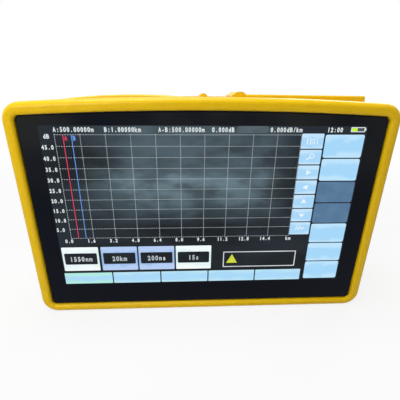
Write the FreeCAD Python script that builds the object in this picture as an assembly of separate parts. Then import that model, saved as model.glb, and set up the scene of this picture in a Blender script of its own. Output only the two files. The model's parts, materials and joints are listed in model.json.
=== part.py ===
"""Hand-held optical time domain reflectometer in a silicone sleeve, standing on its flat bottom.

Millimetres. +X is the right of the screen, +Y goes into the device, +Z is up.
The origin is the middle of the footprint, on the surface that the device stands on.
"""

import FreeCAD
import Part

import math
import os

from FreeCAD import Vector

# ---- Driving dimensions ---------------------------------------------------------------------
# Sleeve: a block whose crowned top falls towards the back. Straight bands at both ends stand proud.
HALF_WIDTH = 91.4
HEIGHT = 117.7
FRONT = -21.0
BACK = 21.0
RIM = -18.0                      # depth at which HEIGHT holds on the sloping top
LIP_BAND = 5.0                   # depth of the straight band behind the front edge
REAR_BAND = 4.0
BEAD = 0.3                       # how far both bands stand proud of the skin between them
FOOT_HALF = 70.0                 # flat under the middle, flush with the bands
TOP_ANGLE = 4.5
TOP_TAPER = math.tan(math.radians(TOP_ANGLE))
CORNER = 8.5
CROWN = 1530.0
SLEEVE_WALL = 3.1
FRONT_ROUND = 2.5
LIP_ROUND = 1.7
BACK_ROUND = 2.4
LIP_SEAT = 18.4                  # depth of the case's back face, under the sleeve's rear lip

# Grip grooves across the sleeve's sides
GROOVES = 9
GROOVE_LOW = 30.0
GROOVE_PITCH = 7.0
GROOVE_DEPTH = 0.9
GROOVE_FRONT = -11.0
GROOVE_LENGTH = 24.0

# Window in the sleeve's front
WINDOW_HALF = 86.1
WINDOW_BOTTOM = 4.5
WINDOW_TOP = 112.1
WINDOW_CORNER = 2.6

# Window in the sleeve's back
REAR_HALF = 78.0
REAR_BOTTOM = 10.0
REAR_TOP = 104.0
REAR_CORNER = 8.0

# Case
CASE_WALL = 2.3
SPLIT = -10.0                    # where the front frame meets the rear shell
SHELL_FRONT = LIP_SEAT - CASE_WALL  # inner face of the case's back
PLATEAU_BACK = 20.3              # raised middle of the case's back

# Display stack
GLASS_FRONT = -19.4
GLASS_BACK = -17.4
GLASS_GAP = 0.45                 # between the glass and the sleeve's lip
GASKET = 0.3
GASKET_WIDTH = 2.6
FACE_BACK = -15.4                # back of the front frame's face plate
SCREEN_CENTRE_X = 0.55
SCREEN_CENTRE_Z = 61.2
SCREEN_WIDTH = 154.08
SCREEN_HEIGHT = 85.92
PANEL_WIDTH = 158.0
PANEL_HEIGHT = 95.0
PANEL_THICK = 1.4
TRAY_BACK = -10.6

# Flaps over the sockets. Heights on the top are measured from the sleeve's skin at mid-width.
FLAP_FRONT = -9.5
FLAP_BACK = 11.5
FLAP_DEPTH_IN = 1.2              # how far a flap's underside sits below the skin
SEAT_CLEARANCE = 0.35
RIB_WALL = 1.5
RIB_DEPTH = 1.3
RIB_CLEARANCE = 0.6
DECK = -5.2                      # floor of the port wells
DECK_PLATE = 2.6
FLAP_EDGE = 0.5
WELL_FRONT = -7.5
WELL_BACK = 9.5
LEFT_WELL = (-66.0, -9.0)
RIGHT_WELL = (22.0, 69.0)
LEFT_AXIS = (-71.3, -2.75)
LEFT_KNUCKLE = 1.0
RIGHT_AXIS = (76.2, -1.9)
RIGHT_KNUCKLE = 1.3
HINGE_RELIEF = (4.0, 2.4)        # length and depth of the groove that a flap's outer end swings into
PORT_Y = 1.0
WELL_WALL = 2.0

# Fibre ports
FERRULE_BORE = 1.255
PORT_TOP = -3.4
PORT_BARREL = 4.0
PORT_PLATE = (8.4, 6.6)          # half sizes of the plate that holds a port on its well's floor
PORT_PLATE_THICK = 1.0
PORT_HOLE = 4.6                  # half size of the square hole below a plate
PORT_LENGTH = 15.0
TRACE_PORT_X = -57.0
LOCATOR_PORT_X = -37.5
METER_PORT_X = -18.0

# Electrical sockets
USB_X = 31.0
USB_OPENING = (12.5, 5.1)
USB_WALL = 0.35
USB_LENGTH = 13.5
MICRO_X = 47.0
MICRO_OPENING = (7.6, 2.6)
MICRO_WALL = 0.3
MICRO_LENGTH = 6.0
CHARGE_X = 60.5
CHARGE_BORE = 2.8
CHARGE_PIN = 1.0
CHARGE_HALF = 4.6
CHARGE_LENGTH = 11.0

# Power key
KEY_X = 6.4
KEY_CAP = 3.5
KEY_HOLE = 3.95
KEY_STEM = 2.6
KEY_STEM_HOLE = 2.68
KEY_TOP = -0.4
KEY_TRAVEL = 0.7

# Stand on the back
STAND_HALF = 31.0
STAND_FOOT = 20.5
STAND_AXIS_Z = 86.5
STAND_AXIS_Y = 18.4
STAND_BARREL = 1.85
STAND_THICK = 3.1
STAND_CLEARANCE = 0.45
STAND_BORE = 1.06
PIN_RADIUS = 1.0
PIN_LENGTH = 9.0
PIN_REACH = 33.6                 # outer end of each pin
NOTCH_HALF = 9.5
NOTCH_BOTTOM = 13.4
BAY_FRONT = 13.2                 # inner face of the wall behind the stand

# Battery
BATTERY_CENTRE = (56.5, 52.0)
BATTERY_SIZE = (34.4, 69.0)
BATTERY_FRONT = -2.8
BATTERY_BACK = 16.4
BATTERY_BAY_GAP = 0.6
BAY_WALL = 1.4
COVER_BORDER = 2.6
COVER_THICK = 2.3
COVER_HEADROOM = 6.0             # extra height of the cover above the battery, for its screws
COVER_SCREWS = ((42.0, 91.2), (71.0, 91.2))
COVER_POST = 2.6
COVER_PILOT = 0.9
COVER_HEAD = 2.0

# Case screws
BOSSES = ((-82.6, 11.0), (82.6, 11.0), (-82.6, 102.5), (82.6, 102.5))
BOSS_HALF = 2.9
SCREW_PILOT = 1.1
SCREW_SHANK = 1.35
SCREW_HEAD = 2.6
SCREW_HEAD_HEIGHT = 2.0

# Boards, optics and loudspeaker
BOARD_FRONT = -8.4
BOARD_BACK = -6.8
BOARD_HOLES = ((-70.0, 97.0), (70.0, 13.0))
MODULE_SPAN = (-72.0, -12.0, 48.0, 90.0)
MODULE_FRONT = -5.4
MODULE_BACK = 12.4
SPOOL_CENTRE = (-42.0, 27.0)
SPOOL_DRUM = 15.5
SPOOL_TRAY = 18.0
SPEAKER_CENTRE = (-58.0, 27.0)
SPEAKER_RADIUS = 11.0
SPEAKER_FRONT = 11.5
SLOT_PITCH = 3.6
SLOT_HALF = 0.8


# ---- Shape helpers --------------------------------------------------------------------------
def crown_drop(x, inset=0.0):
    """Height of the crowned top at x, measured from the skin at mid-width, `inset` below the skin."""
    return math.sqrt((CROWN - inset) ** 2 - x ** 2) - CROWN


def outline(y, half_width, bottom, top, corner, crown=CROWN):
    """Closed wire in the plane y: flat bottom, upright sides, crowned top, rounded corners."""
    arc_z = top - crown
    corner_x = half_width - corner
    corner_z = arc_z + math.sqrt((crown - corner) ** 2 - corner_x ** 2)
    lean = math.atan2(corner_z - arc_z, corner_x)
    reach_x = corner_x + corner * math.cos(lean)
    reach_z = corner_z + corner * math.sin(lean)
    mid_x = corner_x + corner * math.cos(lean / 2)
    mid_z = corner_z + corner * math.sin(lean / 2)
    low_x = corner_x + corner * math.sqrt(0.5)
    low_z = bottom + corner - corner * math.sqrt(0.5)

    def at(x, z):
        return Vector(x, y, z)

    edges = [
        Part.makeLine(at(-corner_x, bottom), at(corner_x, bottom)),
        Part.Arc(at(corner_x, bottom), at(low_x, low_z), at(half_width, bottom + corner)).toShape(),
        Part.makeLine(at(half_width, bottom + corner), at(half_width, corner_z)),
        Part.Arc(at(half_width, corner_z), at(mid_x, mid_z), at(reach_x, reach_z)).toShape(),
        Part.Arc(at(reach_x, reach_z), at(0, top), at(-reach_x, reach_z)).toShape(),
        Part.Arc(at(-reach_x, reach_z), at(-mid_x, mid_z), at(-half_width, corner_z)).toShape(),
        Part.makeLine(at(-half_width, corner_z), at(-half_width, bottom + corner)),
        Part.Arc(at(-half_width, bottom + corner), at(-low_x, low_z), at(-corner_x, bottom)).toShape(),
    ]
    return Part.Wire(edges)


def body_block(front, back, inset):
    """Solid between two depths under the sloping crowned top, drawn in by `inset` from the outside."""
    half = HALF_WIDTH - inset
    block = box(-half, half, front, back, inset, HEIGHT + 1)
    start = Vector(0, RIM - 20.0, HEIGHT - CROWN)
    crown = on_top(Part.makeCylinder(CROWN - inset, 80.0, start, Vector(0, 1, 0)))
    block = block.common(crown)
    long_edges = [e for e in block.Edges if e.BoundBox.YLength > 0.9 * (back - front)]
    return block.makeFillet(max(CORNER - inset, 1.5), long_edges)


def prism(wire, length):
    """Solid made by carrying a wire of the XZ plane along +Y."""
    return Part.Face(wire).extrude(Vector(0, length, 0))


def box(low_x, high_x, low_y, high_y, low_z, high_z):
    size = (high_x - low_x, high_y - low_y, high_z - low_z)
    return Part.makeBox(*size, Vector(low_x, low_y, low_z))


def rounded(shape, radius, axis):
    """Rounds the four edges of a box that run along one axis (0 is X, 1 is Y, 2 is Z)."""
    edges = []
    for edge in shape.Edges:
        start, end = (vertex.Point for vertex in edge.Vertexes)
        spans = [abs(end[i] - start[i]) for i in range(3)]
        if spans[axis] > 1e-6 and sum(spans) - spans[axis] < 1e-6:
            edges.append(edge)
    return shape.makeFillet(radius, edges)


def rounded_box(low_x, high_x, low_y, high_y, low_z, high_z, radius, axis):
    return rounded(box(low_x, high_x, low_y, high_y, low_z, high_z), radius, axis)


def upright(radius, x, y, low, high):
    """Cylinder along +Z."""
    return Part.makeCylinder(radius, high - low, Vector(x, y, low))


def along_y(radius, x, z, front, back):
    """Cylinder along +Y."""
    return Part.makeCylinder(radius, back - front, Vector(x, front, z), Vector(0, 1, 0))


def square_post(half, x, z, front, back):
    """Square bar along +Y."""
    return box(x - half, x + half, front, back, z - half, z + half)


def along_x(radius, y, z, low, high):
    """Cylinder along +X."""
    return Part.makeCylinder(radius, high - low, Vector(low, y, z), Vector(1, 0, 0))


def edges_at_depth(shape, y):
    """Edges that lie wholly in the plane y."""
    return [e for e in shape.Edges if all(abs(v.Y - y) < 1e-4 for v in e.Vertexes)]


def on_top(shape):
    """Leans a shape made for a level top back onto the sleeve's sloping top."""
    leaned = shape.copy()
    leaned.rotate(Vector(0, RIM, HEIGHT), Vector(1, 0, 0), -TOP_ANGLE)
    return leaned


def top_box(span_x, span_y, span_z, radius=0.0):
    """Box on the sloping top. Heights are measured from the skin at mid-width."""
    shape = box(*span_x, *span_y, HEIGHT + span_z[0], HEIGHT + span_z[1])
    if radius:
        shape = rounded(shape, radius, 2)
    return on_top(shape)


def top_post(radius, x, low, high, y=PORT_Y):
    """Cylinder standing square to the sloping top."""
    return on_top(upright(radius, x, y, HEIGHT + low, HEIGHT + high))


def crown_slab(low_x, high_x, front, back, inset):
    """What lies above the crowned top drawn in by `inset`, between two places in x."""

    def at(x, z):
        return Vector(x, front, HEIGHT + z)

    middle = (low_x + high_x) / 2
    above = 8.0
    floor = Part.Arc(
        at(low_x, crown_drop(low_x, inset)),
        at(middle, crown_drop(middle, inset)),
        at(high_x, crown_drop(high_x, inset)),
    ).toShape()
    wire = Part.Wire([
        floor,
        Part.makeLine(at(high_x, crown_drop(high_x, inset)), at(high_x, above)),
        Part.makeLine(at(high_x, above), at(low_x, above)),
        Part.makeLine(at(low_x, above), at(low_x, crown_drop(low_x, inset))),
    ])
    return on_top(prism(wire, back - front))


def fused(shapes):
    """One solid from several that touch."""
    shape = shapes[0].fuse(shapes[1:])
    return shape.removeSplitter()


def group(shapes):
    """Separate solids kept in one node."""
    return Part.makeCompound(shapes)


# ---- Sleeve ---------------------------------------------------------------------------------
def well(span):
    """The part of a well that the sleeve and the case both leave open."""
    return top_box(span, (WELL_FRONT, WELL_BACK), (DECK, 8.0), 2.0)


def grip_grooves():
    """Shallow grooves across both sides, where the hands hold the device."""
    grooves = []
    skin = HALF_WIDTH - BEAD
    mouth, bed = 1.5, 0.7
    for side in (-1, 1):
        for step in range(GROOVES):
            z = GROOVE_LOW + GROOVE_PITCH * step
            corners = [
                Vector(side * (skin + 0.1), GROOVE_FRONT, z - mouth),
                Vector(side * (skin - GROOVE_DEPTH), GROOVE_FRONT, z - bed),
                Vector(side * (skin - GROOVE_DEPTH), GROOVE_FRONT, z + bed),
                Vector(side * (skin + 0.1), GROOVE_FRONT, z + mouth),
            ]
            grooves.append(prism(Part.makePolygon(corners + corners[:1]), GROOVE_LENGTH))
    return grooves


def end_band(front, back, top, edge_depth, radius):
    """Straight band at one end of the sleeve, with its outer edge rounded."""
    band = prism(outline(front, HALF_WIDTH, 0.0, top, CORNER), back - front)
    return band.makeFillet(radius, edges_at_depth(band, edge_depth))


def silicone_sleeve():
    """Moulded silicone skin with a rolled front lip, seats for the flaps and a rear window."""
    rear_start = BACK - REAR_BAND
    rear_top = HEIGHT - TOP_TAPER * (rear_start - RIM)
    sleeve = fused([
        body_block(FRONT + LIP_BAND - 1, rear_start + 1, BEAD),
        box(-FOOT_HALF, FOOT_HALF, FRONT + LIP_BAND, rear_start, 0.0, SLEEVE_WALL),
        end_band(FRONT, FRONT + LIP_BAND, HEIGHT, FRONT, FRONT_ROUND),
        end_band(rear_start, BACK, rear_top, BACK, BACK_ROUND),
    ])
    window = outline(FRONT - 1, WINDOW_HALF, WINDOW_BOTTOM, WINDOW_TOP, WINDOW_CORNER)
    sleeve = sleeve.cut(prism(window, RIM - FRONT + 2))
    rim = [e for e in edges_at_depth(sleeve, FRONT) if e.BoundBox.XMax < WINDOW_HALF + 0.1]
    inner = [e for e in rim if e.BoundBox.ZMin > WINDOW_BOTTOM - 0.1 and e.BoundBox.ZMax < WINDOW_TOP + 0.1]
    inner = [e for e in inner if e.BoundBox.XMin > -WINDOW_HALF - 0.1]
    sleeve = sleeve.makeFillet(LIP_ROUND, inner)
    sleeve = sleeve.cut(body_block(RIM, LIP_SEAT, SLEEVE_WALL))
    rear = outline(LIP_SEAT - 1, REAR_HALF, REAR_BOTTOM, REAR_TOP, REAR_CORNER)
    sleeve = sleeve.cut(prism(rear, BACK - LIP_SEAT + 3))
    seat_y = (FLAP_FRONT - SEAT_CLEARANCE, FLAP_BACK + SEAT_CLEARANCE)
    seat_inset = FLAP_DEPTH_IN + SEAT_CLEARANCE
    cuts = [
        crown_slab(LEFT_AXIS[0], 1.1, *seat_y, seat_inset),
        crown_slab(LEFT_AXIS[0] - HINGE_RELIEF[0], LEFT_AXIS[0], *seat_y, HINGE_RELIEF[1]),
        crown_slab(11.7, RIGHT_AXIS[0], *seat_y, seat_inset),
        crown_slab(RIGHT_AXIS[0], RIGHT_AXIS[0] + HINGE_RELIEF[0], *seat_y, HINGE_RELIEF[1]),
        hinge_rod(LEFT_AXIS, LEFT_KNUCKLE + SEAT_CLEARANCE, SEAT_CLEARANCE),
        hinge_rod(RIGHT_AXIS, RIGHT_KNUCKLE + SEAT_CLEARANCE, SEAT_CLEARANCE),
        well(LEFT_WELL),
        well(RIGHT_WELL),
        top_post(KEY_HOLE, KEY_X, -6.0, 4.0),
    ]
    return sleeve.cut(cuts + grip_grooves())


# ---- Flaps ----------------------------------------------------------------------------------
def hinge_rod(axis, radius, overrun=0.0):
    """Round bar along a flap's hinge line."""
    rod = along_y(radius, axis[0], HEIGHT + axis[1], FLAP_FRONT - overrun, FLAP_BACK + overrun)
    return on_top(rod)


def sealing_rib(span):
    """Upstanding rib under a flap that plugs the mouth of its well."""
    low, high = span[0] + RIB_CLEARANCE, span[1] - RIB_CLEARANCE
    front, back = WELL_FRONT + RIB_CLEARANCE, WELL_BACK - RIB_CLEARANCE
    below = min(crown_drop(low), crown_drop(high)) - FLAP_DEPTH_IN - RIB_DEPTH
    rib = top_box((low, high), (front, back), (below, -FLAP_DEPTH_IN), 1.6)
    inner_x = (low + RIB_WALL, high - RIB_WALL)
    inner_y = (front + RIB_WALL, back - RIB_WALL)
    hollow = top_box(inner_x, inner_y, (below - 1, 1.0), 0.8)
    above = crown_slab(low - 1, high + 1, front - 1, back + 1, FLAP_DEPTH_IN - 0.2)
    return rib.cut([hollow, above])


def underside_arc(low_x, high_x):
    """Flap's underside: the crowned top, drawn in. Returns the arc and its two ends."""

    def at(x):
        return Vector(x, FLAP_FRONT, HEIGHT + crown_drop(x, FLAP_DEPTH_IN))

    arc = Part.Arc(at(low_x), at((low_x + high_x) / 2), at(high_x))
    return arc.toShape(), at(low_x), at(high_x)


def flap(edges, axis, knuckle, well_span):
    """A flap's profile carried across its width, with its hinge knuckle and sealing rib."""
    strip = prism(Part.Wire(edges), FLAP_BACK - FLAP_FRONT)
    ends = edges_at_depth(strip, FLAP_FRONT) + edges_at_depth(strip, FLAP_BACK)
    exposed = [e for e in ends if e.CenterOfMass.z > HEIGHT - 0.9 and e.BoundBox.XLength > 30.0]
    strip = strip.makeChamfer(FLAP_EDGE, exposed)
    return fused([on_top(strip), hinge_rod(axis, knuckle), sealing_rib(well_span)])


def left_flap():
    """Bowed strip over the fibre ports, hinged at its outer end, with a pull tab at the inner end."""

    def at(x, z):
        return Vector(x, FLAP_FRONT, HEIGHT + z)

    outer_x = LEFT_AXIS[0]
    outer_top = LEFT_AXIS[1] + LEFT_KNUCKLE
    tab_low, tab_high, tab_top = -2.9, 0.6, 1.65
    under, under_low, under_high = underside_arc(outer_x, tab_high)
    edges = [
        Part.makeLine(under_low, at(outer_x, outer_top)),
        Part.Arc(at(outer_x, outer_top), at(-40.0, 0.87), at(-9.0, -0.25)).toShape(),
        Part.makeLine(at(-9.0, -0.25), at(tab_low, -0.25)),
        Part.makeLine(at(tab_low, -0.25), at(tab_low, tab_top - 1.2)),
        Part.Arc(at(tab_low, tab_top - 1.2), at(-1.15, tab_top), at(tab_high, tab_top - 1.2)).toShape(),
        Part.makeLine(at(tab_high, tab_top - 1.2), under_high),
        under,
    ]
    return flap(edges, LEFT_AXIS, LEFT_KNUCKLE, LEFT_WELL)


def right_flap():
    """Straight bar over the electrical sockets, with a ramped pull tab at the inner end."""

    def at(x, z):
        return Vector(x, FLAP_FRONT, HEIGHT + z)

    outer_x = RIGHT_AXIS[0] + RIGHT_KNUCKLE
    end_top = 0.9
    end_round = 0.7
    round_x = outer_x - end_round
    round_mid = end_round * (1 - math.sqrt(0.5))
    tab_low, tab_high, tab_top = 12.1, 18.3, 2.5
    under, under_low, under_high = underside_arc(tab_low, RIGHT_AXIS[0])
    end_arc = Part.Arc(
        at(outer_x, end_top - end_round), at(outer_x - round_mid, end_top - round_mid), at(round_x, end_top)
    )
    tab_back = Part.Arc(at(tab_high + 0.6, 1.3), at(tab_high - 0.2, 2.1), at(tab_high - 1.2, tab_top))
    tab_nose = Part.Arc(at(12.7, 1.1), at(12.25, 0.8), at(tab_low, 0.3))
    edges = [
        under,
        Part.makeLine(under_high, at(RIGHT_AXIS[0], RIGHT_AXIS[1])),
        Part.makeLine(at(RIGHT_AXIS[0], RIGHT_AXIS[1]), at(outer_x, RIGHT_AXIS[1])),
        Part.makeLine(at(outer_x, RIGHT_AXIS[1]), at(outer_x, end_top - end_round)),
        end_arc.toShape(),
        Part.makeLine(at(round_x, end_top), at(tab_high + 0.6, 1.3)),
        tab_back.toShape(),
        Part.makeLine(at(tab_high - 1.2, tab_top), at(15.2, tab_top - 0.05)),
        Part.makeLine(at(15.2, tab_top - 0.05), at(12.7, 1.1)),
        tab_nose.toShape(),
        Part.makeLine(at(tab_low, 0.3), under_low),
    ]
    return flap(edges, RIGHT_AXIS, RIGHT_KNUCKLE, RIGHT_WELL)


# ---- Front of the case and the display ------------------------------------------------------
def glass_outline(y, gap):
    """Outline of the cover glass, `gap` inside the sleeve's front window."""
    corner = max(WINDOW_CORNER - gap, 0.6)
    return outline(y, WINDOW_HALF - gap, WINDOW_BOTTOM + gap, WINDOW_TOP - gap, corner, CROWN)


def screen_box(width, height, front, back):
    """Block centred on the lit area of the screen."""
    low_x, high_x = SCREEN_CENTRE_X - width / 2, SCREEN_CENTRE_X + width / 2
    low_z, high_z = SCREEN_CENTRE_Z - height / 2, SCREEN_CENTRE_Z + height / 2
    return box(low_x, high_x, front, back, low_z, high_z)


def front_frame():
    """Bezel moulding: a face plate with a pocket for the glass, and a wall that meets the shell."""
    frame = body_block(RIM, SPLIT, SLEEVE_WALL)
    pocket = prism(glass_outline(RIM - 1, GLASS_GAP), GLASS_BACK + GASKET - RIM + 1)
    inside = body_block(FACE_BACK, SPLIT + 1, SLEEVE_WALL + CASE_WALL)
    window = screen_box(SCREEN_WIDTH + 2, SCREEN_HEIGHT + 2, RIM - 1, FACE_BACK + 1)
    posts = [square_post(BOSS_HALF, x, z, FACE_BACK, SPLIT) for x, z in BOSSES]
    pilots = [along_y(SCREW_PILOT, x, z, FACE_BACK + 1, SPLIT + 1) for x, z in BOSSES]
    frame = frame.cut([pocket, inside, window])
    return fused([frame] + posts).cut(pilots)


def touch_glass():
    """Cover glass with a softened front edge."""
    glass = prism(glass_outline(GLASS_FRONT, GLASS_GAP), GLASS_BACK - GLASS_FRONT)
    return glass.makeChamfer(0.3, edges_at_depth(glass, GLASS_FRONT))


def glass_gasket():
    """Die-cut foam adhesive that holds the glass in the frame's pocket."""
    ring = prism(glass_outline(GLASS_BACK, GLASS_GAP), GASKET)
    hole = prism(glass_outline(GLASS_BACK - 1, GLASS_GAP + GASKET_WIDTH), GASKET + 2)
    return ring.cut(hole)


def display_panel():
    return screen_box(PANEL_WIDTH, PANEL_HEIGHT, FACE_BACK, FACE_BACK + PANEL_THICK)


def display_tray():
    """Pressed metal tray behind the panel, with its rim folded forward."""
    front = FACE_BACK + PANEL_THICK
    tray = screen_box(PANEL_WIDTH, PANEL_HEIGHT, front, TRAY_BACK)
    return rounded(tray, 1.5, 1)


def display_cable():
    """Flat ribbon from the display to the main board."""
    return box(-14.0, 14.0, TRAY_BACK, BOARD_FRONT, 26.0, 26.4)


# ---- Rear shell -----------------------------------------------------------------------------
def battery_block(gap, front, back):
    """Upright block around the battery pack, `gap` larger all round."""
    half_x, half_z = BATTERY_SIZE[0] / 2 + gap, BATTERY_SIZE[1] / 2 + gap
    x, z = BATTERY_CENTRE
    return box(x - half_x, x + half_x, front, back, z - half_z, z + half_z)


def cover_block(border, front, back):
    """Rounded block of the battery cover's outline, `border` outside the battery."""
    half_x, half_z = BATTERY_SIZE[0] / 2 + border, BATTERY_SIZE[1] / 2 + border
    x, z = BATTERY_CENTRE
    return rounded_box(x - half_x, x + half_x, front, back, z - half_z, z + half_z + COVER_HEADROOM, 3.0, 1)


def speaker_slots():
    """Row of slots in the back, in front of the loudspeaker."""
    slots = []
    x, z = SPEAKER_CENTRE
    for step in range(-2, 3):
        middle = z + SLOT_PITCH * step
        reach = math.sqrt(SPEAKER_RADIUS ** 2 - (SLOT_PITCH * step) ** 2) - 1.0
        slots.append(box(x - reach, x + reach, BAY_FRONT, BACK, middle - SLOT_HALF, middle + SLOT_HALF))
    return slots


def stand_recess():
    """Space for the folded stand, with a finger notch under its foot."""
    low_z, high_z = STAND_FOOT - STAND_CLEARANCE, STAND_AXIS_Z + STAND_BARREL + STAND_CLEARANCE
    half = STAND_HALF + STAND_CLEARANCE
    floor = STAND_AXIS_Y - STAND_BARREL - STAND_CLEARANCE
    bed = rounded_box(-half, half, floor, BACK + 1, low_z, high_z, 0.8, 1)
    notch = rounded_box(-NOTCH_HALF, NOTCH_HALF, floor - 0.6, BACK + 1, NOTCH_BOTTOM, low_z + 5, 2.5, 1)
    return [bed, notch]


def port_holes():
    """Square holes in the left well's floor, under the plates of the fibre ports."""
    span_y = (PORT_Y - PORT_HOLE, PORT_Y + PORT_HOLE)
    reach = (-30.0, 0.0)
    places = (TRACE_PORT_X, LOCATOR_PORT_X, METER_PORT_X)
    return [top_box((x - PORT_HOLE, x + PORT_HOLE), span_y, reach) for x in places]


def socket_holes():
    """Square holes in the right well's floor for the electrical sockets."""
    usb_x, usb_y = USB_OPENING[0] / 2 + USB_WALL, USB_OPENING[1] / 2 + USB_WALL
    micro_x, micro_y = MICRO_OPENING[0] / 2 + MICRO_WALL, MICRO_OPENING[1] / 2 + MICRO_WALL
    reach = (-30.0, 0.0)
    return [
        top_box((USB_X - usb_x, USB_X + usb_x), (PORT_Y - usb_y, PORT_Y + usb_y), reach),
        top_box((MICRO_X - micro_x, MICRO_X + micro_x), (PORT_Y - micro_y, PORT_Y + micro_y), reach),
        top_box((CHARGE_X - CHARGE_HALF, CHARGE_X + CHARGE_HALF), (PORT_Y - 5.0, PORT_Y + 5.0), reach),
    ]


def middle_frame():
    """Walls of the case between the bezel and the back, with the two wells let into the top."""
    walls = body_block(SPLIT, SHELL_FRONT, SLEEVE_WALL)
    walls = walls.cut(body_block(SPLIT - 1, SHELL_FRONT + 1, SLEEVE_WALL + CASE_WALL))
    wells = []
    for low, high in (LEFT_WELL, RIGHT_WELL):
        wide = (low - WELL_WALL, high + WELL_WALL)
        deep = (WELL_FRONT - WELL_WALL, WELL_BACK + WELL_WALL)
        block = top_box(wide, deep, (DECK - DECK_PLATE, -SLEEVE_WALL))
        wells.append(block.common(body_block(SPLIT, SHELL_FRONT, SLEEVE_WALL)))
    cuts = [well(LEFT_WELL), well(RIGHT_WELL), top_post(KEY_STEM_HOLE, KEY_X, -12.0, 0.0)]
    return fused([walls] + wells).cut(cuts + port_holes() + socket_holes())


def rear_shell():
    """Back of the case: raised middle, recess for the stand, battery opening and screw posts."""
    plate = body_block(SHELL_FRONT, LIP_SEAT, SLEEVE_WALL)
    plateau = outline(SHELL_FRONT, REAR_HALF - 0.8, REAR_BOTTOM + 0.8, REAR_TOP - 0.8, REAR_CORNER - 0.8)
    raised = prism(plateau, PLATEAU_BACK - SHELL_FRONT)
    raised = raised.makeChamfer(0.6, edges_at_depth(raised, PLATEAU_BACK))
    bay_wall = STAND_HALF + 3.0
    stand_bay = box(-bay_wall, bay_wall, BAY_FRONT, LIP_SEAT, NOTCH_BOTTOM - 2.0, STAND_AXIS_Z + 5.0)
    posts = [square_post(BOSS_HALF, x, z, SPLIT, LIP_SEAT) for x, z in BOSSES]
    posts += [square_post(COVER_POST, x, z, LIP_SEAT - 8.0, LIP_SEAT - 0.4) for x, z in COVER_SCREWS]
    solid = fused([plate, raised, stand_bay] + posts)
    cuts = [
        battery_block(BATTERY_BAY_GAP, BAY_FRONT, BACK),
        cover_block(COVER_BORDER + 0.3, PLATEAU_BACK - COVER_THICK, BACK),
        along_x(PIN_RADIUS, STAND_AXIS_Y, STAND_AXIS_Z, -PIN_REACH, PIN_REACH),
    ]
    cuts += stand_recess() + speaker_slots()
    cuts += [along_y(SCREW_SHANK, x, z, SPLIT - 1, LIP_SEAT + 1) for x, z in BOSSES]
    cuts += [along_y(SCREW_HEAD, x, z, LIP_SEAT - SCREW_HEAD_HEIGHT, LIP_SEAT + 1) for x, z in BOSSES]
    cuts += [along_y(COVER_PILOT, x, z, LIP_SEAT - 7.0, BACK) for x, z in COVER_SCREWS]
    return solid.cut(cuts)


# ---- Stand ----------------------------------------------------------------------------------
def stand():
    """Folding stand: a ribbed plate with a window, hung from a barrel along its upper edge."""
    back = STAND_AXIS_Y + STAND_BARREL
    plate = box(-STAND_HALF, STAND_HALF, back - STAND_THICK, back, STAND_FOOT, STAND_AXIS_Z)
    foot = [e for e in plate.Edges if e.BoundBox.YLength > 1 and e.BoundBox.ZMax < STAND_FOOT + 1]
    plate = plate.makeFillet(5.0, foot)
    window_half = STAND_HALF - 11.0
    window_z = (STAND_FOOT + 16.0, STAND_AXIS_Z - 12.0)
    window = rounded_box(-window_half, window_half, FRONT, BACK, *window_z, 5.0, 1)
    hollow_half = STAND_HALF - 3.0
    hollow_z = (STAND_FOOT + 3.0, STAND_AXIS_Z - 5.0)
    hollow = rounded_box(-hollow_half, hollow_half, FRONT, back - 1.7, *hollow_z, 3.0, 1)
    collar_half = window_half + 2.0
    collar_z = (window_z[0] - 2.0, window_z[1] + 2.0)
    collar = rounded_box(-collar_half, collar_half, back - STAND_THICK, back, *collar_z, 6.0, 1)
    ribs = []
    for x in (-12.0, 0.0, 12.0):
        ribs.append(box(x - 0.8, x + 0.8, back - STAND_THICK, back, hollow_z[0], window_z[0] - 1.0))
    barrel = along_x(STAND_BARREL, STAND_AXIS_Y, STAND_AXIS_Z, -STAND_HALF, STAND_HALF)
    shape = fused([plate.cut(hollow), collar, barrel] + ribs).cut(window)
    reach = PIN_LENGTH - 2.0
    bores = [
        along_x(STAND_BORE, STAND_AXIS_Y, STAND_AXIS_Z, -STAND_HALF - 1, -STAND_HALF + reach),
        along_x(STAND_BORE, STAND_AXIS_Y, STAND_AXIS_Z, STAND_HALF - reach, STAND_HALF + 1),
    ]
    return shape.cut(bores)


def stand_pins():
    """Two steel pins, pressed into the shell beside the stand's barrel."""
    inner = PIN_REACH - PIN_LENGTH
    return group([
        along_x(PIN_RADIUS, STAND_AXIS_Y, STAND_AXIS_Z, -PIN_REACH, -inner),
        along_x(PIN_RADIUS, STAND_AXIS_Y, STAND_AXIS_Z, inner, PIN_REACH),
    ])


# ---- Battery --------------------------------------------------------------------------------
def battery_pack():
    """Two round cells side by side in shrink wrap."""
    pack = battery_block(0.0, BATTERY_FRONT, BATTERY_BACK)
    return rounded(pack, 8.0, 2)


def battery_bay():
    """Tub that holds the pack, bonded to the inside of the back."""
    tub = battery_block(BATTERY_BAY_GAP + BAY_WALL, BATTERY_FRONT - 0.3 - BAY_WALL, SHELL_FRONT)
    return tub.cut(battery_block(BATTERY_BAY_GAP, BATTERY_FRONT - 0.3, BACK))


def battery_cover():
    """Cover screwed over the battery bay, flush with the back."""
    cover = cover_block(COVER_BORDER, PLATEAU_BACK - COVER_THICK, PLATEAU_BACK)
    cover = cover.makeChamfer(0.4, edges_at_depth(cover, PLATEAU_BACK))
    holes = [along_y(SCREW_SHANK, x, z, 0.0, BACK) for x, z in COVER_SCREWS]
    sinks = [along_y(COVER_HEAD + 0.2, x, z, PLATEAU_BACK - 1.5, BACK) for x, z in COVER_SCREWS]
    return cover.cut(holes + sinks)


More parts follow.
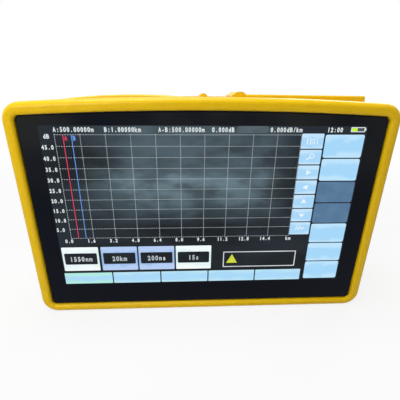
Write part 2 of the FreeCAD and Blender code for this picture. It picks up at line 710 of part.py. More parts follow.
# ---- Boards and optics ----------------------------------------------------------------------
def main_board():
    """Circuit board behind the display."""
    board = rounded_box(-74.0, 74.0, BOARD_FRONT, BOARD_BACK, 9.0, 101.0, 3.0, 1)
    holes = [along_y(1.6, x, z, BOARD_FRONT - 1, BOARD_BACK + 1) for x, z in BOARD_HOLES]
    return board.cut(holes)


def processor_shield():
    """Folded metal can over the processor."""
    can = box(-4.0, 32.0, BOARD_BACK, BOARD_BACK + 3.2, 50.0, 80.0)
    return rounded(can, 1.0, 1)


def board_chips():
    """Chips and connectors soldered to the back of the main board."""
    places = [(6.0, 16.0, 18.0, 14.0, 1.4), (26.0, 38.0, 12.0, 9.0, 1.2), (-2.0, 36.0, 9.0, 9.0, 1.6)]
    places += [(16.0, 88.0, 7.0, 7.0, 2.4), (-10.0, 14.0, 8.0, 5.0, 3.0), (-1.0, 94.0, 10.0, 5.0, 3.6)]
    chips = []
    for x, z, width, height, rise in places:
        low_x, low_z = x - width / 2, z - height / 2
        chips.append(box(low_x, low_x + width, BOARD_BACK, BOARD_BACK + rise, low_z, low_z + height))
    return group(chips)


def optical_module():
    """Screened box that holds the laser, the splitter and the avalanche detector."""
    low_x, high_x, low_z, high_z = MODULE_SPAN
    module = rounded_box(low_x, high_x, MODULE_FRONT, MODULE_BACK, low_z, high_z, 2.0, 1)
    lid_groove = box(low_x + 3, high_x - 3, MODULE_BACK - 0.6, MODULE_BACK + 1, low_z + 3, high_z - 3)
    lid = box(low_x + 3.6, high_x - 3.6, MODULE_BACK - 0.7, MODULE_BACK, low_z + 3.6, high_z - 3.6)
    return module.cut(lid_groove).fuse(lid)


def fibre_spool():
    """Tray that the spare fibre is wound round, no tighter than the fibre allows."""
    x, z = SPOOL_CENTRE
    front = MODULE_FRONT + 1
    return fused([
        box(x - SPOOL_TRAY, x + SPOOL_TRAY, front, front + 0.8, z - SPOOL_TRAY, z + SPOOL_TRAY),
        along_y(SPOOL_DRUM, x, z, front, front + 5.0),
    ])


def fibre_pigtails():
    """Buffered fibres from the trace port into the optical module, and on to the spool."""
    low_x, high_x, low_z, high_z = MODULE_SPAN
    x, z = SPOOL_CENTRE
    port_end = DECK - PORT_LENGTH
    lead = top_post(0.45, TRACE_PORT_X, port_end - 9.0, port_end)
    lead = lead.cut(box(low_x, high_x, MODULE_FRONT, MODULE_BACK, low_z, high_z))
    down = upright(0.45, x - 14.0, MODULE_FRONT + 3.5, z + 10.0, low_z)
    return group([lead, down])


# ---- Fibre ports ----------------------------------------------------------------------------
def port_body(x, barrel, length, bore_depth):
    """Turned port: plate on the well's floor, barrel above it and a body below, bored through."""
    half_x, half_y = PORT_PLATE
    span_y = (PORT_Y - half_y, PORT_Y + half_y)
    plate = top_box((x - half_x, x + half_x), span_y, (DECK, DECK + PORT_PLATE_THICK))
    above = top_post(barrel, x, DECK, PORT_TOP)
    below = top_post(PORT_BARREL, x, DECK - length, DECK)
    bore = top_post(FERRULE_BORE, x, DECK - bore_depth, 1.0)
    return fused([plate, above, below]).cut(bore)


def trace_port():
    """Adapter for the fibre under test, with the key slot of a threaded connector."""
    adapter = port_body(TRACE_PORT_X, PORT_BARREL, PORT_LENGTH, PORT_LENGTH - 3.0)
    slot_y = (PORT_Y + 2.2, PORT_Y + PORT_BARREL + 1)
    return adapter.cut(top_box((TRACE_PORT_X - 1.1, TRACE_PORT_X + 1.1), slot_y, (DECK + 1.2, 0.0)))


def fault_locator_port():
    """Plain ferrule barrel for the visible laser."""
    return port_body(LOCATOR_PORT_X, 2.6, 6.0, 6.0)


def power_meter_port():
    """Screw-on ferrule adapter over the power meter's detector."""
    return port_body(METER_PORT_X, PORT_BARREL, 7.0, 7.0)


def fault_locator_laser():
    """Brass laser tube behind the fault locator port."""
    top = DECK - 6.0
    return fused([
        top_post(3.6, LOCATOR_PORT_X, top - 9.0, top),
        top_post(2.6, LOCATOR_PORT_X, top - 12.0, top - 9.0),
    ])


def power_meter_detector():
    """Detector can behind the power meter port."""
    top = DECK - 7.0
    return fused([
        top_post(3.9, METER_PORT_X, top - 3.5, top),
        top_post(4.4, METER_PORT_X, top - 4.3, top - 3.5),
    ])


# ---- Electrical sockets ---------------------------------------------------------------------
def socket_shell(x, opening, wall, length):
    """Folded metal shell, open at the top and closed at the bottom."""
    inner_x, inner_y = opening[0] / 2, opening[1] / 2
    outer_x, outer_y = inner_x + wall, inner_y + wall
    outer = top_box((x - outer_x, x + outer_x), (PORT_Y - outer_y, PORT_Y + outer_y), (DECK - length, DECK))
    depth = (DECK - length + 1.2, DECK + 1)
    return outer.cut(top_box((x - inner_x, x + inner_x), (PORT_Y - inner_y, PORT_Y + inner_y), depth))


def usb_shell():
    return socket_shell(USB_X, USB_OPENING, USB_WALL, USB_LENGTH)


def usb_tongue():
    """Plastic tongue that carries the contacts."""
    half_x = USB_OPENING[0] / 2 - 0.7
    half_y = USB_OPENING[1] / 2
    floor = DECK - USB_LENGTH + 1.2
    root = top_box((USB_X - half_x, USB_X + half_x), (PORT_Y - half_y, PORT_Y + half_y), (floor, floor + 1.5))
    blade = top_box((USB_X - half_x, USB_X + half_x), (PORT_Y + 0.3, PORT_Y + 2.1), (floor, DECK - 1.0))
    return fused([root, blade])


def micro_usb_socket():
    shell = socket_shell(MICRO_X, MICRO_OPENING, MICRO_WALL, MICRO_LENGTH)
    floor = DECK - MICRO_LENGTH
    tongue = top_box((MICRO_X - 2.4, MICRO_X + 2.4), (PORT_Y - 0.3, PORT_Y + 0.3), (floor + 0.5, DECK - 1.0))
    return fused([shell, tongue])


def charging_socket():
    """Square moulded socket for a round charging plug, with its centre pin."""
    span_x = (CHARGE_X - CHARGE_HALF, CHARGE_X + CHARGE_HALF)
    block = top_box(span_x, (PORT_Y - 5.0, PORT_Y + 5.0), (DECK - CHARGE_LENGTH, DECK))
    throat = top_post(CHARGE_BORE, CHARGE_X, DECK - CHARGE_LENGTH + 1.8, DECK + 1)
    pin = top_post(CHARGE_PIN, CHARGE_X, DECK - CHARGE_LENGTH + 1.0, DECK - 1.2)
    return fused([block.cut(throat), pin])


def socket_board():
    """Small board that the electrical sockets stand on, square to the main board."""
    top = DECK - USB_LENGTH
    board = top_box((22.0, 68.0), (PORT_Y - 6.0, PORT_Y + 6.0), (top - 1.6, top))
    blocks = [
        top_box((MICRO_X - 3.5, MICRO_X + 3.5), (PORT_Y - 1.5, PORT_Y + 1.5), (top, DECK - MICRO_LENGTH)),
        top_box((CHARGE_X - 4, CHARGE_X + 4), (PORT_Y - 4, PORT_Y + 4), (top, DECK - CHARGE_LENGTH)),
    ]
    return fused([board] + blocks)


# ---- Power key ------------------------------------------------------------------------------
def power_key():
    """Round key cap on a stem, kept in by a clip below the case's wall."""
    cap = upright(KEY_CAP, KEY_X, PORT_Y, HEIGHT + KEY_TOP - 1.7, HEIGHT + KEY_TOP)
    cap = cap.makeChamfer(0.4, [e for e in cap.Edges if e.BoundBox.ZMin > HEIGHT + KEY_TOP - 0.1])
    stem = upright(KEY_STEM, KEY_X, PORT_Y, HEIGHT - 7.1, HEIGHT + KEY_TOP - 1.7)
    clip = upright(KEY_STEM + 0.9, KEY_X, PORT_Y, HEIGHT - 7.1, HEIGHT - 6.0)
    return on_top(fused([cap, stem, clip]))


def key_switch():
    """Tact switch under the key, on its own upright bracket."""
    top = -7.1 - KEY_TRAVEL - 0.15
    plunger = top_post(1.7, KEY_X, top - 1.2, top)
    body = top_box((KEY_X - 3, KEY_X + 3), (PORT_Y - 3, PORT_Y + 3), (top - 4.4, top - 1.2))
    arm = top_box((KEY_X - 3, KEY_X + 3), (PORT_Y - 8.0, PORT_Y + 3), (top - 5.6, top - 4.4))
    return fused([plunger, body, arm])


def speaker():
    """Round loudspeaker behind the slots in the back."""
    x, z = SPEAKER_CENTRE
    front = SPEAKER_FRONT
    return fused([
        along_y(SPEAKER_RADIUS, x, z, front + 2.0, LIP_SEAT - CASE_WALL),
        along_y(SPEAKER_RADIUS - 4, x, z, front, front + 2.0),
    ])


NODES = {
    "silicone_sleeve": silicone_sleeve,
    "left_flap": left_flap,
    "right_flap": right_flap,
    "front_frame": front_frame,
    "touch_glass": touch_glass,
    "glass_gasket": glass_gasket,
    "display_panel": display_panel,
    "display_tray": display_tray,
    "display_cable": display_cable,
    "middle_frame": middle_frame,
    "rear_shell": rear_shell,
    "stand": stand,
    "stand_pins": stand_pins,
    "battery_pack": battery_pack,
    "battery_bay": battery_bay,
    "battery_cover": battery_cover,
    "main_board": main_board,
    "processor_shield": processor_shield,
    "board_chips": board_chips,
    "optical_module": optical_module,
    "fibre_spool": fibre_spool,
    "fibre_pigtails": fibre_pigtails,
    "trace_port": trace_port,
    "fault_locator_port": fault_locator_port,
    "power_meter_port": power_meter_port,
    "fault_locator_laser": fault_locator_laser,
    "power_meter_detector": power_meter_detector,
    "usb_shell": usb_shell,
    "usb_tongue": usb_tongue,
    "micro_usb_socket": micro_usb_socket,
    "charging_socket": charging_socket,
    "socket_board": socket_board,
    "power_key": power_key,
    "key_switch": key_switch,
    "speaker": speaker,
}


def main():
    os.makedirs("parts", exist_ok=True)
    for name, make in NODES.items():
        shape = make()
        print(name, shape.isValid(), len(shape.Solids), round(shape.Volume, 1))
        shape.exportStep(f"parts/{name}.step")


main()
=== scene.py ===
"""A hand-held fibre test set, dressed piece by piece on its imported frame. Metres, Z up."""

import json
import math

import bmesh
import bpy
import numpy as np
from mathutils import Euler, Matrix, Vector


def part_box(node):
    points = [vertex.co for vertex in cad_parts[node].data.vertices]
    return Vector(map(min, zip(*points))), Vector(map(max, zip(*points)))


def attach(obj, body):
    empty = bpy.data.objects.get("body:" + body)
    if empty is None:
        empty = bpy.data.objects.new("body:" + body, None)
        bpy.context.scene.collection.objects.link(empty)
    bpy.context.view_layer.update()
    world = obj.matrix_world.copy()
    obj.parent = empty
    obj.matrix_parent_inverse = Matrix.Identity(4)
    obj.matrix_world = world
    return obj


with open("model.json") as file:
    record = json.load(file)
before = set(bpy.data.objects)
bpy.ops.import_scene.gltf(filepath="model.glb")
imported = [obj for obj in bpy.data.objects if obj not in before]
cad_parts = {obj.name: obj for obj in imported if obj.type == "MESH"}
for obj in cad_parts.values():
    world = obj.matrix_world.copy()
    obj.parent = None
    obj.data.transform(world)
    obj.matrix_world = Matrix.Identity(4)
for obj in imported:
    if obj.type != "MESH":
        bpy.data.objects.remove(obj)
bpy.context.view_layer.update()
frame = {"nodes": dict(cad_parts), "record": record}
MM = 0.001


# ---- Case mouldings: bezel, middle walls, back and battery tub -------------------------------
# The case is injection moulded in black ABS from spark-eroded tools, so its skin has a fine even
# grain. The bezel and the back are screwed together round the middle walls.
class Value:
    """An output socket that takes part in arithmetic, so that shader maths reads as expressions."""

    def __init__(self, owner, socket):
        self.owner = owner
        self.socket = socket

    def maths(self, operation, first, second):
        return self.owner.node("ShaderNodeMath", {"operation": operation}, {0: first, 1: second})

    def __add__(self, other):
        return self.maths("ADD", self, other)

    def __sub__(self, other):
        return self.maths("SUBTRACT", self, other)

    def __rsub__(self, other):
        return self.maths("SUBTRACT", other, self)

    def __mul__(self, other):
        return self.maths("MULTIPLY", self, other)

    __radd__ = __add__
    __rmul__ = __mul__


class Nodes:
    """A node tree, to which every node is added by one method."""

    def __init__(self, tree):
        self.tree = tree

    def node(self, kind, settings={}, inputs={}, output=0):
        """Adds a node: its settings are set first, then its sockets get their values or links."""
        made = self.tree.nodes.new(kind)
        for name, value in settings.items():
            setattr(made, name, value)
        for key, value in inputs.items():
            if isinstance(value, Value):
                self.tree.links.new(value.socket, made.inputs[key])
            else:
                made.inputs[key].default_value = value
        return Value(self, made.outputs[output])


class Finish(Nodes):
    """A Principled material. Constants sit on its sockets; what varies is fed in as a Value."""

    def __init__(self, name, **constants):
        self.material = bpy.data.materials.new(name)
        self.material.use_nodes = True
        super().__init__(self.material.node_tree)
        self.shader = self.tree.nodes["Principled BSDF"]
        self.place = self.node("ShaderNodeTexCoord", output="Object")
        for words, value in constants.items():
            self.shader.inputs[words.replace("_", " ")].default_value = value

    def noise(self, size, detail=3.0, stretch=(1, 1, 1)):
        """Cloudy values from 0 to 1 with patches about `size` metres across."""
        scale = {"Vector": self.place, "Scale": stretch}
        place = self.node("ShaderNodeMapping", {"vector_type": "POINT"}, scale)
        inputs = {"Vector": place, "Scale": 1 / size, "Detail": detail}
        return self.node("ShaderNodeTexNoise", {}, inputs)

    def turned(self, degrees):
        """Places turned about X, so that a flat pattern in X and Y lies on an upright face."""
        angle = {"Vector": self.place, "Rotation": (math.radians(degrees), 0, 0)}
        return self.node("ShaderNodeMapping", {"vector_type": "POINT"}, angle)

    def cells(self, size):
        """Distance to scattered points about `size` metres apart."""
        inputs = {"Vector": self.place, "Scale": 1 / size}
        return self.node("ShaderNodeTexVoronoi", {"feature": "F1"}, inputs)

    def axis(self, index):
        """Distance along X, Y or Z from the origin."""
        return self.node("ShaderNodeSeparateXYZ", {}, {0: self.place}, output=index)

    def step(self, value, low, high, bottom=0.0, top=1.0):
        """Smooth rise from bottom to top as value goes from low to high."""
        inputs = {"Value": value, "From Min": low, "From Max": high}
        inputs.update({"To Min": bottom, "To Max": top})
        return self.node("ShaderNodeMapRange", {"interpolation_type": "SMOOTHSTEP"}, inputs)

    def blend(self, factor, low, high):
        """Colour between two colours."""
        inputs = {0: factor}
        for index, colour in ((6, low), (7, high)):
            inputs[index] = colour if isinstance(colour, Value) else (*colour, 1.0)
        return self.node("ShaderNodeMix", {"data_type": "RGBA"}, inputs, output=2)

    def relief(self, height, depth):
        """Bump from a height of 0 to 1 that stands `depth` metres tall."""
        inputs = {"Height": height, "Distance": depth, "Strength": 1.0}
        self.feed("Normal", self.node("ShaderNodeBump", {}, inputs))

    def feed(self, socket, value):
        self.tree.links.new(value.socket, self.shader.inputs[socket])

    def on(self, *nodes):
        """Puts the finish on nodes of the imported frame."""
        for name in nodes:
            frame["nodes"][name].data.materials.clear()
            frame["nodes"][name].data.materials.append(self.material)


def moulded_plastic(name, colour, roughness, grain=0.35 * MM, depth=0.02 * MM):
    """Spark-eroded plastic: an even grain, soft patches of handling shine and a little dust."""
    finish = Finish(name, Specular_IOR_Level=0.45)
    patches = finish.noise(22 * MM, 4.0)
    dust = finish.step(finish.noise(1.6 * MM, 5.0), 0.60, 0.74)
    lighter = tuple(c * 1.25 + 0.004 for c in colour)
    dusty = tuple(c + 0.05 for c in colour)
    tinted = finish.blend(patches, colour, lighter)
    finish.feed("Base Color", finish.blend(dust * 0.35, tinted, dusty))
    finish.feed("Roughness", finish.step(patches, 0.3, 0.7, roughness - 0.07, roughness + 0.06))
    finish.relief(finish.cells(grain) + finish.noise(grain * 0.6, 2.0) * 0.5, depth)
    return finish


moulded_plastic("black_abs", (0.018, 0.019, 0.021), 0.52).on(
    "front_frame", "middle_frame", "rear_shell", "battery_bay"
)


# ---- Display stack: backlight tray, ribbon, panel, gasket and cover glass --------------------
# The panel lies behind a sheet of hardened glass whose border is printed black on the inside.
# Foam tape holds the glass in the bezel, and the metal tray behind carries the backlight.
def sheet_metal(name, colour, roughness, brush=(1, 1, 60)):
    """Rolled sheet: fine lines along one direction, with cloudy handling marks."""
    finish = Finish(name, Metallic=1.0)
    lines = finish.noise(3 * MM, 5.0, brush)
    marks = finish.noise(14 * MM, 3.0)
    dull = finish.step(marks, 0.35, 0.7, roughness - 0.06, roughness + 0.08)
    finish.feed("Base Color", finish.blend(lines, tuple(c * 0.86 for c in colour), colour))
    finish.feed("Roughness", dull + lines * 0.05)
    finish.relief(lines, 0.006 * MM)
    return finish


sheet_metal("pressed_aluminium", (0.70, 0.71, 0.73), 0.34).on("display_tray")

TRACK_PITCH = 3.2 * MM
ribbon = Finish("polyimide_ribbon", Roughness=0.35, Coat_Weight=0.4)
tracks = ribbon.node(
    "ShaderNodeTexWave", {"wave_type": "BANDS", "bands_direction": "X"},
    {"Vector": ribbon.place, "Scale": 1 / TRACK_PITCH, "Distortion": 0.0},
)
copper_seen = ribbon.step(tracks, 0.4, 0.6)
ribbon.feed("Base Color", ribbon.blend(copper_seen, (0.46, 0.17, 0.02), (0.60, 0.27, 0.05)))
ribbon.relief(tracks, 0.02 * MM)
ribbon.on("display_cable")

foam = Finish("foam_tape", Roughness=0.9, Specular_IOR_Level=0.2)
foam_cells = foam.cells(0.25 * MM)
foam.feed("Base Color", foam.blend(foam_cells, (0.006, 0.006, 0.006), (0.03, 0.03, 0.032)))
foam.relief(foam_cells, 0.05 * MM)
foam.on("glass_gasket")

crystal = Finish("panel_films", Roughness=0.25, Specular_IOR_Level=0.4)
crystal_tone = crystal.noise(60 * MM, 2.0)
crystal.feed("Base Color", crystal.blend(crystal_tone, (0.012, 0.013, 0.016), (0.02, 0.021, 0.026)))
crystal.on("display_panel")

# The border's ink is a blue black. The glass over it has a few wiped smears that show as gloss.
# Its colour is painted a lighter grey towards its upper edge, in cloudy patches: a painted
# reflection.
cover = Finish("black_printed_glass", Specular_IOR_Level=0.08)
reflection_patches = cover.step(cover.noise(46 * MM, 2.0), 0.42, 0.68, 0.08, 1.0)
painted_reflection = cover.step(cover.axis(2), 62 * MM, 112 * MM) * reflection_patches
cover.feed("Base Color", cover.blend(painted_reflection, (0.0006, 0.0018, 0.0072), (0.014, 0.015, 0.0150)))
smears = cover.noise(30 * MM, 4.0, (1.0, 1.0, 2.4))
fine = cover.noise(1.2 * MM, 3.0)
cover.feed("Roughness", cover.step(smears, 0.42, 0.70, 0.05, 0.22) + fine * 0.03)
cover.on("touch_glass")


# ---- Picture on the screen -------------------------------------------------------------------
# The lit picture is the instrument's measuring page: a dashed grid with its two cursors, rows of
# touch keys and read-outs. Each part is a film a few hundredths of a millimetre thick.
glass_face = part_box("touch_glass")[0].y
panel_low, panel_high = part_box("display_panel")
SCREEN_WIDTH = 152.6 * MM
SCREEN_HEIGHT = 87.0 * MM
LEFT_REACH = 77.04 * MM          # from the panel's middle to the picture's left edge
FOOT_REACH = 42.96 * MM          # and down to its lower edge
screen_left = (panel_low.x + panel_high.x) / 2 - LEFT_REACH
screen_low = (panel_low.z + panel_high.z) / 2 - FOOT_REACH
screen_right = screen_left + SCREEN_WIDTH
screen_top = screen_low + SCREEN_HEIGHT
FILM = 0.03 * MM
ROOT = -0.5                      # films are let half a film into the glass
GROUND_LAYER = 1                 # where films end in front of the glass, counted in films
WINDOW_LAYER = 1.5
PLATE_LAYER = 2
FRONT_LAYER = 3
PICTURE_LAYER = 3.2
SIGN_LAYER = 4


def make_piece(name, points, faces, finish, body, slot, smooth=False):
    """Mesh object at the origin from arrays of points and faces, riding on a body."""
    mesh = bpy.data.meshes.new(name)
    mesh.from_pydata(np.asarray(points).tolist(), [], [list(f) for f in faces])
    mesh.materials.append(finish.material)
    if smooth:
        mesh.shade_smooth()
    piece = bpy.data.objects.new(name, mesh)
    bpy.context.scene.collection.objects.link(piece)
    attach(piece, body)
    return piece


def on_glass(outline, layer):
    """Points of an outline of (x, z), each `layer` films in front of the glass."""
    y = np.full(len(outline), glass_face - layer * FILM)
    return np.column_stack([outline[:, 0], y, outline[:, 1]])


def films(name, outlines, finish, layer):
    """Closed plates on the glass: each outline of (x, z) points, carried forward from its root."""
    points, faces, start = [], [], 0
    for outline in outlines:
        count = len(outline)
        points += [on_glass(outline, layer), on_glass(outline, ROOT)]
        ring = start + np.arange(count)
        ahead = start + (np.arange(count) + 1) % count
        faces.append(ring)
        faces.append((ring + count)[::-1])
        faces += list(np.column_stack([ahead, ring, ring + count, ahead + count]))
        start += 2 * count
    return make_piece(name, np.vstack(points), faces, finish, "case", "display_panel")


def frames(name, pairs, finish, layer):
    """Closed rings on the glass between pairs of outlines, outer and inner, of as many points."""
    points, faces, start = [], [], 0
    for outer, inner in pairs:
        count = len(outer)
        points += [on_glass(outer, layer), on_glass(inner, layer)]
        points += [on_glass(inner, ROOT), on_glass(outer, ROOT)]
        here = start + np.arange(count)
        ahead = start + (np.arange(count) + 1) % count
        for side in range(4):
            near, far = side * count, (side + 1) % 4 * count
            faces += list(np.column_stack([here + near, ahead + near, ahead + far, here + far]))
        start += 4 * count
    return make_piece(name, np.vstack(points), faces, finish, "case", "display_panel")


def key_outline(low_x, high_x, low_z, high_z, radius):
    """Rectangle with round corners, anticlockwise seen from the front: (x, z) points."""
    turn = np.linspace(0, math.pi / 2, 7)
    corners = (
        (high_x - radius, low_z + radius, -0.5), (high_x - radius, high_z - radius, 0.0),
        (low_x + radius, high_z - radius, 0.5), (low_x + radius, low_z + radius, 1.0),
    )
    points = []
    for x, z, start in corners:
        angle = turn + start * math.pi
        points.append(np.column_stack([x + radius * np.cos(angle), z + radius * np.sin(angle)]))
    return np.vstack(points)


def srgb(red, green, blue):
    """Linear colour from 0 to 255: ((c + 0.055) / 1.055) to the power 2.4, or c / 12.92 near 0."""
    parts = (red / 255, green / 255, blue / 255)
    return tuple(((c + 0.055) / 1.055) ** 2.4 if c > 0.04 else c / 12.92 for c in parts)


DOT_ROW = 0.18 * MM              # from one row of the panel's dots to the next
LIT = {"Roughness": 0.16, "Specular_IOR_Level": 0.08, "Emission_Strength": 1.0}


def lit(name, colour, edge=None):
    """Lit dots of the panel: their light drifts a little over the surface, under a glossy face."""
    finish = Finish(name, **LIT)
    unlit = finish.noise(5 * MM)
    finish.feed("Base Color", finish.blend(unlit, (0.004, 0.004, 0.005), (0.008, 0.009, 0.011)))
    drift = finish.noise(9 * MM, 2.0, (1.0, 1.0, 1.6))
    wave = {"Vector": finish.place, "Scale": 0.1 / DOT_ROW}
    dots = finish.node("ShaderNodeTexWave", {"bands_direction": "Z"}, wave)
    other = edge or tuple(c * 0.93 for c in colour)
    factor = finish.step(drift, 0.32, 0.68) + finish.step(dots, 0.3, 0.7) * 0.12
    finish.feed("Emission Color", finish.blend(factor, colour, other))
    return finish


# Ground of the picture: its black lets a little of the backlight through. Its glow is painted
# lighter in a broad cloud across the middle, and varies in streaks: a painted reflection.
ground = Finish("dark_dots_and_painted_reflection", Roughness=0.12, Specular_IOR_Level=0.08, Emission_Strength=1.0)
ground_tone = ground.noise(8 * MM)
ground.feed("Base Color", ground.blend(ground_tone, (0.002, 0.002, 0.003), (0.003, 0.003, 0.004)))
across, height = ground.axis(0), ground.axis(2)
reflection_band = ground.step(height, 51 * MM, 77 * MM) * ground.step(height, 78 * MM, 89 * MM, 1.0, 0.42)
middle = ground.step(across, -68 * MM, -36 * MM) * ground.step(across, 18 * MM, 48 * MM, 1.0, 0.0)
reflection_streaks = ground.step(ground.noise(30 * MM, 4.0, (0.6, 1.0, 1.7)), 0.34, 0.64)
patches = ground.step(ground.noise(15 * MM, 3.0, (0.7, 1.0, 1.5)), 0.40, 0.66)
# The cloud is a painted reflection: a lighter patch of glow across the middle of the ground.
cloud = reflection_band * middle * (reflection_streaks * 0.35 + patches * 0.55 + 0.15)
dim = ground.blend(reflection_streaks, srgb(20, 25, 28), srgb(33, 41, 48))
ground.feed("Emission Color", ground.blend(cloud, dim, srgb(108, 130, 140)))
whole = key_outline(screen_left, screen_right, screen_low, screen_top, 0.2 * MM)
films("screen_ground", [whole], ground, GROUND_LAYER)

# Grid: ten columns and ten rows of short dashes.
GRID_CELLS = 10
CELL_WIDTH = 11.46 * MM
CELL_HEIGHT = 5.40 * MM
GRID_INSET = 6.85 * MM           # from the picture's left edge to the grid
GRID_RISE = 82.87 * MM           # from the picture's lower edge to the grid's top
LINE = 0.20 * MM
DASH = (0.579 * MM, 0.537 * MM)  # three dots long, across and down
grid_left = screen_left + GRID_INSET
grid_top = screen_low + GRID_RISE
grid_right = grid_left + GRID_CELLS * CELL_WIDTH
grid_low = grid_top - GRID_CELLS * CELL_HEIGHT


def box_mesh(lows, highs):
    """Closed boxes: the corners of each are low + (high - low) times 0 or 1 in each direction."""
    picks = np.array([(0, 0, 0), (1, 0, 0), (1, 0, 1), (0, 0, 1),
                      (0, 1, 0), (1, 1, 0), (1, 1, 1), (0, 1, 1)])
    sides = np.array([(0, 1, 2, 3), (5, 4, 7, 6), (4, 0, 3, 7),
                      (1, 5, 6, 2), (3, 2, 6, 7), (4, 5, 1, 0)])
    points = lows[:, None, :] + (highs - lows)[:, None, :] * picks
    faces = sides + 8 * np.arange(len(lows))[:, None, None]
    return points.reshape(-1, 3), faces.reshape(-1, 4)


def bars(name, lows, highs, finish, layer):
    """Many small boxes on the glass from arrays of their lowest and highest (x, z) corners."""
    boxes = box_mesh(on_glass(lows, layer), on_glass(highs, ROOT))
    return make_piece(name, *boxes, finish, "case", "display_panel")


def dashes():
    """Corners of the dashes: along each grid line they lie as far apart as they are long."""
    across = np.arange(grid_left, grid_right, 2 * DASH[0])
    down = np.arange(grid_low, grid_top, 2 * DASH[1])
    rows = grid_low + CELL_HEIGHT * np.arange(GRID_CELLS + 1)
    columns = grid_left + CELL_WIDTH * np.arange(GRID_CELLS + 1)
    x, z = (a.ravel() for a in np.meshgrid(across, rows))
    lows = [np.column_stack([x, z - LINE / 2])]
    highs = [np.column_stack([x + DASH[0], z + LINE / 2])]
    x, z = (a.ravel() for a in np.meshgrid(columns, down))
    lows.append(np.column_stack([x - LINE / 2, z]))
    highs.append(np.column_stack([x + LINE / 2, z + DASH[1]]))
    return np.vstack(lows), np.vstack(highs)


bars("grid_dashes", *dashes(), lit("grid_white", srgb(222, 232, 236)), PLATE_LAYER)

CURSOR_HALF = 0.16 * MM
cursors = (
    ("a", grid_left + CELL_WIDTH / 3, srgb(232, 62, 104)),
    ("b", grid_left + CELL_WIDTH * 2 / 3, srgb(104, 158, 244)),
)
for letter, x, colour in cursors:
    low = np.array([(x - CURSOR_HALF, grid_low)])
    high = np.array([(x + CURSOR_HALF, grid_top)])
    bars(f"cursor_{letter}", low, high, lit(f"cursor_{letter}_light", colour), FRONT_LAYER)


# Lettering: each sign stands in a cell of its own, as on a dot display.
SIGN_PITCH = 1.54 * MM
SIGN_HEIGHT = 2.15 * MM
SIGN_WIDTH = 1.34 * MM
FIGURE_TALL = 0.73               # height and width of a figure in the font's own units
FIGURE_WIDE = 0.60
signs = {}


def sign(letter):
    """Points and faces of one sign as the font draws it, thickened and closed."""
    if letter not in signs:
        curve = bpy.data.curves.new("sign", "FONT")
        curve.body = letter
        curve.resolution_u = 3
        curve.extrude = 0.5
        curve.offset = 0.036
        holder = bpy.data.objects.new("sign", curve)
        bpy.context.scene.collection.objects.link(holder)
        bpy.context.view_layer.update()
        drawn = holder.evaluated_get(bpy.context.evaluated_depsgraph_get())
        mesh = bpy.data.meshes.new_from_object(drawn)
        joined = bmesh.new()
        joined.from_mesh(mesh)
        bmesh.ops.remove_doubles(joined, verts=joined.verts, dist=1e-4)
        joined.to_mesh(mesh)
        points = np.array([v.co for v in mesh.vertices])
        signs[letter] = points, [tuple(p.vertices) for p in mesh.polygons]
        bpy.data.objects.remove(holder)
        bpy.data.curves.remove(curve)
        bpy.data.meshes.remove(mesh)
    return signs[letter]


def lettering(name, lines, finish):
    """Piece of signs from lines of (words, x of the left end, z of the foot, size)."""
    points, faces, start = [], [], 0
    for words, left, foot, size in lines:
        for index, letter in enumerate(words):
            flat, sides = sign(letter)
            middle = left + (index + 0.5) * SIGN_PITCH * size
            centre = (flat[:, 0].min() + flat[:, 0].max()) / 2
            wide = max(flat[:, 0].max() - flat[:, 0].min(), FIGURE_WIDE)
            x = middle + (flat[:, 0] - centre) * SIGN_WIDTH * size / wide
            z = foot + flat[:, 1] * SIGN_HEIGHT * size / FIGURE_TALL
            y = glass_face - np.where(flat[:, 2] > 0, SIGN_LAYER, ROOT) * FILM
            points.append(np.column_stack([x, y, z]))
            faces += [tuple(start + i for i in side) for side in sides]
            start += len(flat)
    return make_piece(name, np.vstack(points), faces, finish, "case", "display_panel")


LABEL = 0.95                     # size of the grid's figures
TOP_LEVEL = 50.0                 # decibels at the grid's top, and from row to row
ROW_STEP = 5.0
COLUMN_STEP = 1.6                # kilometres from column to column
HEADINGS = (
    ("A:500.00000m", -0.4), ("B:1.00000km", 22.5), ("A-B:500.00000m", 47.1),
    ("0.000dB", 71.8), ("0.000dB/km", 99.2),
)
header = grid_top + 1.35 * MM
label_right = grid_left - 1.0 * MM
label_foot = grid_low - 2.6 * MM
lines = [(words, grid_left + shift * MM, header, 1.0) for words, shift in HEADINGS]
lines += [
    ("12:00", screen_right - 19.4 * MM, header, 1.0),
    ("dB", label_right - 4.2 * MM, grid_top - 1.7 * MM, LABEL),
    ("km", grid_right - 1.6 * MM, label_foot, LABEL),
]
for row in range(1, GRID_CELLS):
    left = label_right - 4 * LABEL * SIGN_PITCH
    foot = grid_top - row * CELL_HEIGHT - 1.4 * MM
    lines.append((f"{TOP_LEVEL - ROW_STEP * row:.1f}", left, foot, LABEL))
for column in range(GRID_CELLS):
    words = f"{COLUMN_STEP * column:.1f}"
    middle = grid_left + column * CELL_WIDTH - 1.3 * MM
    lines.append((words, middle - len(words) * LABEL * SIGN_PITCH / 2, label_foot, LABEL))
white = lit("letter_white", srgb(228, 236, 238))
lettering("screen_words", lines, white)
for letter, x, colour in cursors:
    place = (letter.upper(), x + 0.35 * MM, grid_top - 2.6 * MM, 1.0)
    lettering(f"cursor_{letter}_sign", [place], lit(f"{letter}_light", colour))


